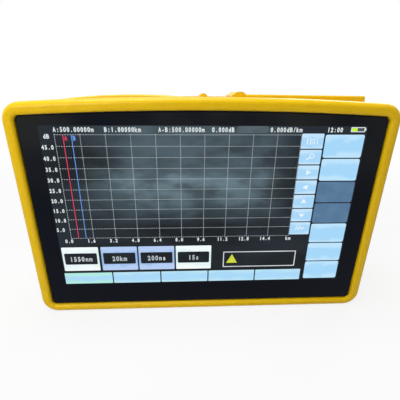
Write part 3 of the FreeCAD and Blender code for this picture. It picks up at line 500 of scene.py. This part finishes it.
# Touch keys: seven small ones with pictures beside the grid, and seven wide blank ones at the edge.
# Their light is strongest round the rim of each key and falls a little towards its middle.
def key_light(name, rim, middle, top, pitch, low=0.55, high=1.0):
    """Light of a column of keys: from middle to rim as |2 fract((top - z) / pitch) - 1| nears 1."""
    finish = Finish(name, **LIT, Base_Color=(0, 0, 0, 1))
    down = (top - finish.axis(2)) * (1 / pitch)
    place = finish.node("ShaderNodeMath", {"operation": "FRACT"}, {0: down})
    rise = finish.node("ShaderNodeMath", {"operation": "ABSOLUTE"}, {0: place * 2 - 1})
    cloud = finish.step(finish.noise(7 * MM, 2.0, (0.8, 1, 1.3)), 0.35, 0.65)
    factor = finish.step(rise + cloud * 0.35, low, high)
    finish.feed("Emission Color", finish.blend(factor, middle, rim))
    return finish


KEYS = 7


def key_column(left, right, top, pitch, tall, radius):
    """Outlines of keys one under another, `pitch` from top to top."""
    tops = [top - n * pitch for n in range(KEYS)]
    return [key_outline(left, right, top - tall, top, radius) for top in tops]


small_left = grid_right + 0.2 * MM
small_right = grid_right + 10.8 * MM
small_top = grid_top + 0.6 * MM
SMALL_PITCH = 7.80 * MM
SMALL_TALL = 7.20 * MM
small_light = key_light(
    "small_key_light", srgb(196, 228, 252), srgb(168, 215, 248), small_top, SMALL_PITCH
)
small_keys = key_column(small_left, small_right, small_top, SMALL_PITCH, SMALL_TALL, 0.5 * MM)
films("small_keys", small_keys, small_light, PLATE_LAYER)

wide_left = grid_right + 11.6 * MM
wide_right = screen_right - 0.6 * MM
wide_top = grid_top + 0.1 * MM
WIDE_PITCH = (wide_top - screen_low - 0.2 * MM) / KEYS
WIDE_TALL = WIDE_PITCH - 0.60 * MM
wide_light = key_light(
    "wide_key_light", srgb(190, 228, 253), srgb(165, 215, 249), wide_top, WIDE_PITCH
)
wide_keys = key_column(wide_left, wide_right, wide_top, WIDE_PITCH, WIDE_TALL, 0.9 * MM)
films("wide_keys", wide_keys[:2] + wide_keys[4:], wide_light, PLATE_LAYER)
dimmed = lit("dimmed_key_light", srgb(80, 114, 148), srgb(90, 124, 156))
films("dimmed_keys", wide_keys[2:4], dimmed, PLATE_LAYER)


def key_middle(index):
    """Middle of a small key, counted from the top: (x, z)."""
    return (small_left + small_right) / 2, small_top - index * SMALL_PITCH - SMALL_TALL / 2


def arrow(index, turn):
    """Triangle in the middle of a small key, pointing at `turn` quarter turns from the right."""
    angle = turn * math.pi / 2 + np.array([0, 2, 4]) * math.pi / 3
    x, z = key_middle(index)
    return np.column_stack([x + 1.75 * MM * np.cos(angle), z + 1.5 * MM * np.sin(angle)])


def stroke(start, end, width):
    """Four corners of a straight stroke from start to end."""
    start, end = np.array(start), np.array(end)
    side = np.array([end[1] - start[1], start[0] - end[0]])
    side = side / np.hypot(*side) * width / 2
    return np.array([start + side, end + side, end - side, start - side])


def ring_outline(x, z, radius, count=24):
    """Points round a circle, anticlockwise."""
    angle = np.linspace(0, 2 * math.pi, count, endpoint=False)
    return np.column_stack([x + radius * np.cos(angle), z + radius * np.sin(angle)])


# Pictures on the small keys: a scale with two dots, a magnifier, four arrows and a wave.
scale_x, scale_z = key_middle(0)
lens_x, lens_z = key_middle(1)
wave_x, wave_z = key_middle(6)
SCALE_HALF = 1.6 * MM
pictures = [arrow(2, 0), arrow(3, 2), arrow(4, 1), arrow(5, 3)]
for shift in (-2.4, -0.9, 0.9, 2.4):
    x = scale_x + shift * MM
    pictures.append(stroke((x, scale_z - SCALE_HALF), (x, scale_z + SCALE_HALF), 0.34 * MM))
for height in (-0.7, 0.7):
    pictures.append(ring_outline(scale_x, scale_z + height * MM, 0.26 * MM, 12))
grip = (lens_x - 1.9 * MM, lens_z - 1.5 * MM)
pictures.append(stroke(grip, (lens_x - 0.2 * MM, lens_z - 0.1 * MM), 0.55 * MM))
wave = [(-2.6, -1.0), (-1.7, 1.0), (-0.8, -0.9), (0.1, 1.1), (0.9, -0.8), (1.7, 0.9), (2.5, -0.6)]
wave = [(wave_x + x * MM, wave_z + z * MM) for x, z in wave]
for start, end in zip(wave, wave[1:]):
    pictures.append(stroke(start, end, 0.26 * MM))
picture_white = lit("key_picture_white", srgb(250, 253, 255), srgb(226, 242, 252))
films("key_pictures", pictures, picture_white, PICTURE_LAYER)
lens = [ring_outline(lens_x + 0.8 * MM, lens_z + 0.6 * MM, r * MM) for r in (1.25, 0.85)]
frames("key_lens", [lens], picture_white, PICTURE_LAYER)

# Read-outs: four boxes with dark windows, a row of five tabs under them, and a message box.
box_low = screen_low + 8.7 * MM
box_high = screen_low + 23.4 * MM
box_tall = box_high - box_low
BOX_WIDE = 19.1 * MM
READING = 1.32                   # size of the read-outs' figures
box_lefts = [screen_left + shift * MM for shift in (0.6, 21.0, 40.9, 60.9)]


def box_outlines(left):
    """Outer outline of a read-out box, and that of its window."""
    right = left + BOX_WIDE
    window = (left + 0.95 * MM, right - 1.0 * MM, box_low + 4.0 * MM, box_high - 3.7 * MM)
    return key_outline(left, right, box_low, box_high, 0.5 * MM), key_outline(*window, 0.7 * MM)


bright = key_light("bright_box_light", srgb(244, 252, 252), srgb(226, 244, 246), box_high, box_tall)
cool = key_light("cool_box_light", srgb(182, 206, 244), srgb(156, 190, 234), box_high, box_tall)
boxes = [box_outlines(left) for left in box_lefts]
frames("bright_boxes", [boxes[0], boxes[3]], bright, PLATE_LAYER)
frames("cool_boxes", [boxes[1], boxes[2]], cool, PLATE_LAYER)
window_black = lit("window_black", srgb(14, 20, 26), srgb(22, 30, 38))
films("box_windows", [inner for outer, inner in boxes], window_black, WINDOW_LAYER)
readings = []
for left, words in zip(box_lefts, ("1550nm", "20km", "200ns", "15s")):
    start = left + BOX_WIDE / 2 - len(words) * SIGN_PITCH * READING / 2
    readings.append((words, start, (box_low + box_high) / 2 - 1.35 * MM, READING))
lettering("box_words", readings, lit("reading_light", srgb(206, 216, 220), srgb(176, 188, 194)))

TABS = 5
TAB_PITCH = 26.3 * MM
TAB_WIDE = TAB_PITCH - 0.65 * MM
tab_low = screen_low + 0.2 * MM
tab_high = screen_low + 7.2 * MM
tab_tall = tab_high - tab_low
tab_lefts = [screen_left + n * TAB_PITCH for n in range(TABS)]
tabs = [key_outline(left, left + TAB_WIDE, tab_low, tab_high, 0.35 * MM) for left in tab_lefts]
tab_light = key_light(
    "tab_light", srgb(186, 228, 244), srgb(169, 217, 248), tab_high, tab_tall, 0.5, 1.1
)
chosen_light = key_light(
    "chosen_tab_light", srgb(178, 234, 226), srgb(170, 218, 246), tab_high, tab_tall, 0.4, 0.9
)
films("tabs", tabs[1:], tab_light, PLATE_LAYER)
films("chosen_tab", tabs[:1], chosen_light, PLATE_LAYER)


def rim(left, right, low, high, width, radius, inner_radius):
    """Outer and inner outline of a rectangular rim of one width."""
    inner = (left + width, right - width, low + width, high - width)
    return key_outline(left, right, low, high, radius), key_outline(*inner, inner_radius)


message_left = grid_left + 79.8 * MM
message_right = message_left + 40.2 * MM
message_low = screen_low + 9.4 * MM
message_high = message_low + 9.9 * MM
message_edges = (message_left, message_right, message_low, message_high)
message_rim = rim(*message_edges, 0.5 * MM, 0.2 * MM, 0.15 * MM)
message_white = lit("message_white", srgb(226, 232, 234), srgb(204, 210, 214))
frames("message_box", [message_rim], message_white, PLATE_LAYER)
corners = np.array([(1.8, 2.7), (7.8, 2.7), (4.8, 8.3)]) * MM + (message_left, message_low)
sign_yellow = lit("sign_yellow", srgb(212, 222, 60), srgb(184, 206, 50))
films("message_sign", [corners], sign_yellow, PLATE_LAYER)

# Battery gauge: an outline with a nub, a green fill for a little under half, and a grey rest.
gauge_left = screen_right - 7.9 * MM
gauge_right = screen_right - 1.1 * MM
gauge_low = header
gauge_high = header + 2.3 * MM
FILL_INSET = 0.4 * MM
fill_end = gauge_left + 3.1 * MM
fill_low, fill_high = gauge_low + FILL_INSET, gauge_high - FILL_INSET
gauge_edges = (gauge_left, gauge_right, gauge_low, gauge_high)
gauge_rim = rim(*gauge_edges, 0.35 * MM, 0.12 * MM, 0.08 * MM)
frames("gauge_outline", [gauge_rim], white, FRONT_LAYER)
nub = (gauge_right - 0.02 * MM, gauge_right + 0.5 * MM, gauge_low + 0.6 * MM, gauge_high - 0.6 * MM)
films("gauge_nub", [key_outline(*nub, 0.1 * MM)], white, FRONT_LAYER)
charge = key_outline(gauge_left + FILL_INSET, fill_end, fill_low, fill_high, 0.08 * MM)
charge_green = lit("charge_green", srgb(180, 240, 30), srgb(206, 250, 60))
films("gauge_charge", [charge], charge_green, FRONT_LAYER)
rest = key_outline(fill_end, gauge_right - FILL_INSET, fill_low, fill_high, 0.08 * MM)
films("gauge_rest", [rest], lit("gauge_grey", srgb(74, 84, 92)), FRONT_LAYER)

# Header tag: a plain grey plate between the header's fourth and fifth reading.
tag_left = grid_left + 83.6 * MM
tag_right = grid_left + 98.6 * MM
tag = key_outline(tag_left, tag_right, header - 0.5 * MM, screen_top - 0.1 * MM, 1.2 * MM)
patch_grey = lit("patch_grey", srgb(76, 90, 96), srgb(86, 100, 106))
films("header_patch", [tag], patch_grey, PLATE_LAYER)


# ---- Circuit boards and what is soldered to them ---------------------------------------------
# Glass-fibre boards under green solder mask, with gold-plated pads. The processor sits under a
# folded can of tin plate; the other chips are black moulded epoxy.
def board_finish(name):
    """Solder mask with raised tracks in two directions, and gold pads scattered among them."""
    finish = Finish(name, Coat_Weight=0.3)
    bricks = {"Vector": finish.turned(90), "Scale": 1 / (9 * MM)}
    bricks.update({"Mortar Size": 0.035, "Brick Width": 0.8})
    raised = finish.node("ShaderNodeTexBrick", {"offset": 0.37, "squash": 1.4}, bricks, output=1)
    pads = finish.step(finish.cells(4.4 * MM), 0.10, 0.13, 1.0, 0.0)
    cloud = finish.noise(18 * MM, 3.0)
    mask = finish.blend(cloud, (0.012, 0.11, 0.04), (0.018, 0.145, 0.055))
    tracks = finish.blend(raised * 0.7, mask, (0.05, 0.24, 0.09))
    finish.feed("Base Color", finish.blend(pads, tracks, (0.72, 0.52, 0.18)))
    finish.feed("Metallic", pads)
    finish.feed("Roughness", finish.step(cloud, 0.3, 0.7, 0.30, 0.42) - pads * 0.08)
    finish.relief(raised + pads * 0.6, 0.04 * MM)
    return finish


board_finish("green_solder_mask").on("main_board", "socket_board")
sheet_metal("tin_plate", (0.74, 0.73, 0.70), 0.30, (1, 1, 30)).on(
    "processor_shield", "usb_shell", "micro_usb_socket"
)
moulded_plastic("moulded_epoxy", (0.012, 0.012, 0.013), 0.62, 0.18 * MM, 0.01 * MM).on(
    "board_chips", "key_switch", "usb_tongue", "charging_socket"
)

# Tinned feet along two sides of each chip. Each chip is given by its middle in X and Z, its width
# and its height, in millimetres.
board_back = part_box("main_board")[1].y
leads = Finish("tinned_leads", Metallic=1.0)
leads.feed("Base Color", leads.blend(leads.noise(0.8 * MM), (0.55, 0.54, 0.51), (0.74, 0.73, 0.70)))
leads.feed("Roughness", leads.step(leads.noise(0.4 * MM), 0.3, 0.7, 0.24, 0.46))
FOOT_PITCH = 1.0 * MM
FOOT_LONG = 1.1 * MM
FOOT_SINK = 0.05 * MM            # how far a foot goes into the board's back
FOOT_TALL = 0.35 * MM            # how far it stands above it
CHIPS = ((6.0, 16.0, 18.0, 14.0), (26.0, 38.0, 12.0, 9.0), (-2.0, 36.0, 9.0, 9.0))


def feet():
    """Corners of the chips' feet: a row at a set pitch beside the left and right edge of each."""
    lows, highs = [], []
    for middle_x, middle_z, wide, tall in np.array(CHIPS) * MM:
        first, last = middle_z - tall / 2 + FOOT_PITCH, middle_z + tall / 2 - FOOT_PITCH / 2
        z = np.arange(first, last, FOOT_PITCH)
        low_y = np.full(len(z), board_back - FOOT_SINK)
        high_y = np.full(len(z), board_back + FOOT_TALL)
        for left in (middle_x - wide / 2 - FOOT_LONG, middle_x + wide / 2):
            lows.append(np.column_stack([np.full(len(z), left), low_y, z - FOOT_PITCH / 5]))
            right = np.full(len(z), left + FOOT_LONG)
            highs.append(np.column_stack([right, high_y, z + FOOT_PITCH / 5]))
    return np.vstack(lows), np.vstack(highs)


make_piece("chip_feet", *box_mesh(*feet()), leads, "case", "tin_plate")


# ---- Optics: screened module, spool, buffered fibres, laser and detector ---------------------
# The module is milled aluminium, anodised grey. The spare fibre lies on a moulded spool. The
# laser sits in a turned brass tube and the detector in a plated can.
sheet_metal("anodised_aluminium", (0.42, 0.43, 0.45), 0.42, (30, 1, 1)).on("optical_module")
moulded_plastic("white_nylon", (0.70, 0.70, 0.66), 0.46, 0.5 * MM, 0.01 * MM).on("fibre_spool")

buffer = Finish("yellow_buffer", Roughness=0.42, Coat_Weight=0.2)
buffer_tone = buffer.noise(2.5 * MM, 3.0)
buffer.feed("Base Color", buffer.blend(buffer_tone, (0.78, 0.56, 0.04), (0.88, 0.68, 0.08)))
buffer.relief(buffer_tone, 0.02 * MM)
buffer.on("fibre_pigtails")

spool_low, spool_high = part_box("fibre_spool")
spool_x, spool_z = (spool_low.x + spool_high.x) / 2, (spool_low.z + spool_high.z) / 2
DRUM = 15.5 * MM                 # radius of the spool's drum
FIBRE = 0.45 * MM                # radius of the buffered fibre
TURNS = 4
FIRST_TURN = 1.6 * MM            # from the spool's front to the middle of the first ring


def wound_fibre(around=96, section=8):
    """Rings of fibre side by side on the drum: a small circle carried round the drum's circle."""
    counts = (np.arange(TURNS), np.arange(around), np.arange(section))
    ring, lap, spin = np.meshgrid(*counts, indexing="ij")
    angle = lap * 2 * math.pi / around
    turn = spin * 2 * math.pi / section
    reach = DRUM + FIBRE * (1.02 + np.cos(turn)) + 0.04 * MM * np.sin(3 * angle + ring)
    x = spool_x + reach * np.cos(angle)
    z = spool_z + reach * np.sin(angle)
    y = spool_low.y + FIRST_TURN + ring * 2.05 * FIBRE + FIBRE * np.sin(turn)
    points = np.stack([x, y, z], axis=-1).reshape(-1, 3)
    index = np.arange(len(points)).reshape(TURNS, around, section)
    ahead, beside = np.roll(index, -1, axis=1), np.roll(index, -1, axis=2)
    both = np.roll(ahead, -1, axis=2)
    return points, np.stack([index, ahead, both, beside], axis=-1).reshape(-1, 4)


make_piece("wound_fibre", *wound_fibre(), buffer, "case", "fibre_buffer", smooth=True)


def turned_metal(name, colour, roughness):
    """Turned and plated: fine rings across the axis of the part, and a few dull marks."""
    finish = Finish(name, Metallic=1.0)
    rings = finish.noise(2.0 * MM, 4.0, (1, 1, 14))
    marks = finish.noise(5 * MM, 3.0)
    finish.feed("Base Color", finish.blend(marks, tuple(c * 0.88 for c in colour), colour))
    finish.feed("Roughness", finish.step(marks, 0.35, 0.7, roughness - 0.05, roughness + 0.10))
    finish.relief(rings, 0.008 * MM)
    return finish


turned_metal("turned_brass", (0.74, 0.53, 0.20), 0.30).on("fault_locator_laser")
turned_metal("plated_steel", (0.60, 0.60, 0.61), 0.30).on("power_meter_detector", "stand_pins")


# ---- Fibre ports under the left flap ---------------------------------------------------------
# Turned brass adapters with nickel plate, each lined with a white ceramic sleeve that guides the
# ferrule. They stand square to the sloping top, so their places lean back with it.
turned_metal("nickel_plate", (0.76, 0.74, 0.70), 0.22).on(
    "trace_port", "fault_locator_port", "power_meter_port"
)
bores = [mount for mount in frame["record"]["mounts"] if mount["kind"] == "bore"]
lid_up = np.array(bores[0]["axis"])
lid_back = np.array([0.0, lid_up[2], -lid_up[1]])
lid_right = np.array([1.0, 0.0, 0.0])
mouths = [np.array(b["pos_m"]) + lid_up * b["dims"]["length_mm"] * MM / 2 for b in bores]


def on_lid(centre, right, back, up):
    """Points from arrays of places along and square to the sloping top, seen from a centre."""
    sideways = right[..., None] * lid_right
    return np.asarray(centre) + sideways + back[..., None] * lid_back + up[..., None] * lid_up


def turned_ring(centre, profile, around=40):
    """Closed ring: a closed profile of (radius, height) carried round an axis square to the top."""
    profile = np.array(profile)
    angle = np.linspace(0, 2 * math.pi, around, endpoint=False)
    radius = profile[None, :, 0]
    turn = angle[:, None]
    up = np.broadcast_to(profile[None, :, 1], (around, len(profile)))
    points = on_lid(centre, radius * np.cos(turn), radius * np.sin(turn), up).reshape(-1, 3)
    index = np.arange(around * len(profile)).reshape(around, len(profile))
    ahead, beside = np.roll(index, -1, axis=0), np.roll(index, -1, axis=1)
    faces = np.stack([index, ahead, np.roll(ahead, -1, axis=1), beside], axis=-1).reshape(-1, 4)
    return points, faces


ceramic = Finish("ceramic_sleeve", Roughness=0.18, Coat_Weight=0.5)
ceramic_tone = ceramic.noise(0.7 * MM, 3.0)
ceramic.feed("Base Color", ceramic.blend(ceramic_tone, (0.80, 0.80, 0.76), (0.88, 0.88, 0.85)))
ceramic.relief(ceramic_tone, 0.004 * MM)
BORE = 1.27 * MM
OUTSIDE = 1.72 * MM
DEEP = -2 * MM                   # foot of the part of the sleeve that shows
LIP = 0.08 * MM                  # how far its end stands out of the port
CHAMFER = 0.12 * MM
sleeve_profile = [
    (BORE, 0.0), (BORE + CHAMFER, LIP), (OUTSIDE - CHAMFER, LIP),
    (OUTSIDE, 0.02 * MM), (OUTSIDE, DEEP), (BORE, DEEP),
]
for number, mouth in enumerate(mouths):
    ring = turned_ring(mouth, sleeve_profile)
    make_piece(f"ceramic_sleeve_{number}", *ring, ceramic, "case", "nickel_plate")


# ---- Electrical sockets under the right flap -------------------------------------------------
# Drawn shells of tin plate hold plastic tongues with gilded contacts. The charging socket is a
# square moulding with a steel centre pin.
gilded = Finish("gilded_contacts", Metallic=1.0)
gilded_marks = gilded.noise(0.9 * MM, 3.0)
gilded.feed("Base Color", gilded.blend(gilded_marks, (0.80, 0.56, 0.20), (0.92, 0.70, 0.30)))
gilded.feed("Roughness", gilded.step(gilded_marks, 0.3, 0.7, 0.16, 0.30))
PORT_SINK = 3.4 * MM             # how far the ports' mouths lie below the skin
TONGUE_TIP = -6.2 * MM           # height of the tongues' tips above the skin
CONTACT_BACK = 0.5 * MM          # from a tongue's tip to its contacts
CONTACT_OUT = 0.06 * MM          # how far a contact stands out of its tongue
CONTACT_THICK = 0.10 * MM
lid_middle = mouths[0] - lid_right * mouths[0][0] + lid_up * PORT_SINK


def contacts(name, x, face, count, pitch, width, length):
    """Strips on a tongue's face, side by side, from just below its tip inwards."""
    left = x + (np.arange(count) - (count - 1) / 2) * pitch - width / 2
    back = np.full(count, face - CONTACT_OUT)
    foot = np.full(count, TONGUE_TIP - CONTACT_BACK - length)
    lows = np.column_stack([left, back, foot])
    points, faces = box_mesh(lows, lows + (width, CONTACT_THICK, length))
    make_piece(name, on_lid(lid_middle, *points.T), faces, gilded, "case", "brass_tube")


contacts("usb_contacts", 31.0 * MM, 0.3 * MM, 4, 2.4 * MM, 1.1 * MM, 6.0 * MM)
contacts("micro_usb_contacts", 47.0 * MM, -0.3 * MM, 5, 0.8 * MM, 0.4 * MM, 2.6 * MM)


# ---- Power key -------------------------------------------------------------------------------
# A moulded cap that slides in the sleeve's round hole, with the usual broken ring and bar printed
# in white on its top.
moulded_plastic("grey_key_cap", (0.045, 0.046, 0.05), 0.42, 0.22 * MM, 0.012 * MM).on("power_key")
print_white = Finish("white_print", Specular_IOR_Level=0.3)
print_tone = print_white.noise(0.5 * MM, 3.0)
print_light, print_dark = (0.82, 0.82, 0.81), (0.62, 0.62, 0.61)
print_white.feed("Base Color", print_white.blend(print_tone, print_dark, print_light))
print_white.feed("Roughness", print_white.step(print_tone, 0.3, 0.7, 0.45, 0.6))
KEY_X = 6.4 * MM
KEY_SINK = 0.4 * MM              # of the key's top below the skin
MARK_RADIUS = 1.5 * MM
MARK_HALF = 0.17 * MM            # half the width of its strokes
PRINT = (-0.01 * MM, 0.03 * MM)  # foot and top of the print above the key
BAR = (0.55 * MM, 2.05 * MM)     # ends of the bar behind the mark's middle
key_top = lid_middle + lid_right * KEY_X - lid_up * KEY_SINK


def power_mark(around=30):
    """Print on the key: a square section carried round most of a circle, and a bar in its gap."""
    angle = np.linspace(math.radians(125), math.radians(415), around)[:, None]
    reach = MARK_RADIUS + MARK_HALF * np.array([[-1, -1, 1, 1]])
    up = np.array([[PRINT[0], PRINT[1], PRINT[1], PRINT[0]]]) + 0 * angle
    ring = on_lid(key_top, reach * np.cos(angle), reach * np.sin(angle), up).reshape(-1, 3)
    index = np.arange(around * 4).reshape(around, 4)
    side = np.roll(index, -1, axis=1)
    walls = np.stack([index[:-1], side[:-1], side[1:], index[1:]], axis=-1).reshape(-1, 4)
    low = np.array([(-MARK_HALF, BAR[0], PRINT[0])])
    high = np.array([(MARK_HALF, BAR[1], PRINT[1])])
    bar, bar_sides = box_mesh(low, high)
    faces = [*walls, index[0][::-1], index[-1], *(bar_sides + len(ring))]
    return np.vstack([ring, on_lid(key_top, *bar.T)]), faces


make_piece("power_mark", *power_mark(), print_white, "power_key", "key_plastic")


# ---- Loudspeaker -----------------------------------------------------------------------------
# A small cone speaker behind the slots in the back. Its painted basket shows through them.
painted = Finish("painted_steel", Roughness=0.5)
painted_grain = painted.noise(0.6 * MM, 4.0)
painted.feed("Base Color", painted.blend(painted_grain, (0.022, 0.022, 0.024), (0.04, 0.04, 0.042)))
painted.relief(painted_grain, 0.02 * MM)
painted.on("speaker")


# ---- Battery, its cover and the screws -------------------------------------------------------
# Two cells in blue shrink wrap, whose film is drawn tight round them. The cover is a flat moulding
# flush with the back, held by two cross-head screws; four longer ones hold the case's halves.
wrap = Finish("blue_shrink_wrap", Roughness=0.22, Coat_Weight=0.3)
wrinkles = wrap.noise(6 * MM, 5.0, (1, 1, 0.25))
wrap.feed("Base Color", wrap.blend(wrinkles, (0.015, 0.06, 0.24), (0.03, 0.10, 0.34)))
wrap.relief(wrinkles, 0.12 * MM)
wrap.on("battery_pack")

moulded_plastic("dark_stand_plastic", (0.028, 0.029, 0.032), 0.46, 0.5 * MM, 0.03 * MM).on(
    "stand", "battery_cover"
)


def screw_head(x, z, top, radius, tall, around=48):
    """Head turned about Y, with a cross cut into it.

    Rings run from the floor of the cross to its rim, over the dome and down the side. The cross's
    rim at an angle t is the smaller of a / max(|cos t|, |sin t|) and b / min(|cos t|, |sin t|),
    where a is the length of an arm and b is half its width.
    """
    arm, arm_half = 0.56 * radius, 0.13 * radius
    angle = (np.arange(around) + 0.5) * 2 * math.pi / around
    major = np.maximum(abs(np.cos(angle)), abs(np.sin(angle)))
    minor = np.minimum(abs(np.cos(angle)), abs(np.sin(angle)))
    cross = np.minimum(arm / major, arm_half / np.maximum(minor, 1e-3))
    dome = np.outer((0.80, 0.95, 1.0, 1.0), np.full(around, radius))
    reach = np.vstack([cross * 0.82, cross, dome])
    depth = tall * np.array([0.55, 0.04, 0.06, 0.20, 0.42, 1.0])[:, None]
    y = top - depth + 0 * reach
    points = np.stack([x + reach * np.cos(angle), y, z + reach * np.sin(angle)], axis=-1)
    index = np.arange(reach.size).reshape(reach.shape)
    ahead = np.roll(index, -1, axis=1)
    walls = np.stack([index[:-1], index[1:], ahead[1:], ahead[:-1]], axis=-1).reshape(-1, 4)
    return points.reshape(-1, 3), list(walls) + [index[0], index[-1][::-1]]


screw_steel = turned_metal("blackened_steel", (0.16, 0.16, 0.165), 0.36)
COVER_SCREWS = ((42.0, 91.2), (71.0, 91.2))
COVER_HEAD_SINK = 0.15 * MM
CASE_SCREWS = ((-82.6, 11.0), (82.6, 11.0), (-82.6, 102.5), (82.6, 102.5))
CASE_HEAD_TOP = 18.0 * MM        # the heads lie on seats inside the back
cover_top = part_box("battery_cover")[1].y - COVER_HEAD_SINK
for number, (x, z) in enumerate(COVER_SCREWS):
    head = screw_head(x * MM, z * MM, cover_top, 2.05 * MM, 1.3 * MM)
    make_piece(f"cover_screw_{number}", *head, screw_steel, "case", "steel")
for number, (x, z) in enumerate(CASE_SCREWS):
    head = screw_head(x * MM, z * MM, CASE_HEAD_TOP, 2.4 * MM, 1.58 * MM)
    make_piece(f"case_screw_{number}", *head, screw_steel, "case", "steel")


# ---- Sleeve and flaps ------------------------------------------------------------------------
# One compression moulding of yellow silicone, stretched over the case. Its skin is satin, holds a
# little lint, and is cloudy with handling; the flaps are of the same stuff.
def silicone(name):
    """Satin silicone: broad clouds and a finer mottle of tone, lint, and a fine pebbled skin."""
    finish = Finish(name, Specular_IOR_Level=0.17)
    body = finish.noise(38 * MM, 4.0)
    mottle = finish.noise(5 * MM, 4.0)
    lint = finish.step(finish.noise(0.9 * MM, 6.0), 0.66, 0.76)
    tone = finish.blend(body, (0.730, 0.452, 0.002), (0.800, 0.512, 0.004))
    tone = finish.blend(finish.step(mottle, 0.35, 0.75) * 0.35, tone, (0.70, 0.400, 0.002))
    finish.feed("Base Color", finish.blend(lint * 0.06, tone, (0.86, 0.74, 0.42)))
    finish.feed("Roughness", finish.step(mottle, 0.3, 0.7, 0.27, 0.36) + lint * 0.10)
    finish.relief(finish.cells(0.5 * MM) * 0.4 + finish.noise(0.35 * MM, 2.0), 0.02 * MM)
    return finish


silicone("yellow_silicone").on("silicone_sleeve", "left_flap", "right_flap")


# ---- Floor, lamps and camera -----------------------------------------------------------------
# A plain pale floor that keeps the object's shadow and glows white further out, a white world
# round it, and three soft lamps.
FLOOR_RADIUS = 2.5
RIM_POINTS = 96
GLOW_FROM, GLOW_FULL = 0.16, 0.50    # metres from the middle
RAYS = ("Is Camera Ray", "Is Glossy Ray", "Is Transmission Ray")
rim_line = ring_outline(0, 0, FLOOR_RADIUS, RIM_POINTS)
floor_points = np.column_stack([rim_line, np.zeros(RIM_POINTS)])
floor_mesh = bpy.data.meshes.new("floor")
floor_mesh.from_pydata(floor_points.tolist(), [], [list(range(RIM_POINTS))])
floor = bpy.data.objects.new("floor", floor_mesh)
bpy.context.scene.collection.objects.link(floor)
pale = Finish("pale_floor", Roughness=0.9, Specular_IOR_Level=0.1)
pale.feed("Base Color", pale.blend(pale.noise(0.4, 3.0), (0.62, 0.62, 0.62), (0.64, 0.64, 0.64)))
looked_at = sum(pale.node("ShaderNodeLightPath", output=name) for name in RAYS)
length = {"operation": "LENGTH"}
distance = pale.node("ShaderNodeVectorMath", length, {0: pale.place}, output="Value")
glow = pale.node("ShaderNodeEmission", {}, {"Color": (1, 1, 1, 1), "Strength": 1.0})
far = pale.step(distance, GLOW_FROM, GLOW_FULL, 0.84, 1.0) * looked_at
solid = Value(pale, pale.shader.outputs[0])
mixed = pale.node("ShaderNodeMixShader", {}, {0: far, 1: solid, 2: glow})
pale.tree.links.new(mixed.socket, pale.tree.nodes["Material Output"].inputs["Surface"])
floor_mesh.materials.append(pale.material)

# The world is white to the camera, in glass and in metal, and lights the object more gently.
AMBIENT = 0.26
world = bpy.data.worlds.new("studio")
bpy.context.scene.world = world
world.use_nodes = True
sky = Nodes(world.node_tree)
background = sky.tree.nodes["Background"]
camera_ray, glossy_ray, clear_ray = (sky.node("ShaderNodeLightPath", output=name) for name in RAYS)
shown = sky.node("ShaderNodeMath", {"operation": "MAXIMUM"}, {0: camera_ray, 1: clear_ray})
shown = sky.node("ShaderNodeMath", {"operation": "MAXIMUM"}, {0: shown, 1: glossy_ray})
background.inputs["Color"].default_value = (1, 1, 1, 1)
strength = shown * (1 - AMBIENT) + AMBIENT
sky.tree.links.new(strength.socket, background.inputs["Strength"])


def soft_lamp(name, place, target, size, power):
    """Square area lamp at `place`, facing `target`."""
    lamp = bpy.data.lights.new(name, "AREA")
    lamp.shape = "SQUARE"
    lamp.size = size
    lamp.energy = power
    holder = bpy.data.objects.new(name, lamp)
    bpy.context.scene.collection.objects.link(holder)
    way = Vector(target) - Vector(place)
    holder.location = place
    holder.rotation_euler = way.to_track_quat("-Z", "Y").to_euler()


soft_lamp("overhead", (-0.10, -0.02, 0.70), (0, 0, 0.06), 0.34, 4.0)
soft_lamp("front_left", (-0.16, -0.25, 0.21), (-0.04, 0, 0.06), 0.15, 0.42)
soft_lamp("rear_right", (0.45, 0.60, 0.45), (0, 0, 0.06), 0.5, 2.2)

VIEW_PLACE = (-0.01054, -0.16791, 0.13129)
VIEW_TURN = (67.011, -0.601, -2.702)     # degrees
view = bpy.data.cameras.new("view")
view.lens = 28.8
view.sensor_width = 36.0
viewer = bpy.data.objects.new("view", view)
viewer.location = VIEW_PLACE
viewer.rotation_euler = Euler([math.radians(angle) for angle in VIEW_TURN])
bpy.context.scene.collection.objects.link(viewer)
bpy.context.scene.camera = viewer
bpy.context.scene.view_settings.view_transform = "Standard"
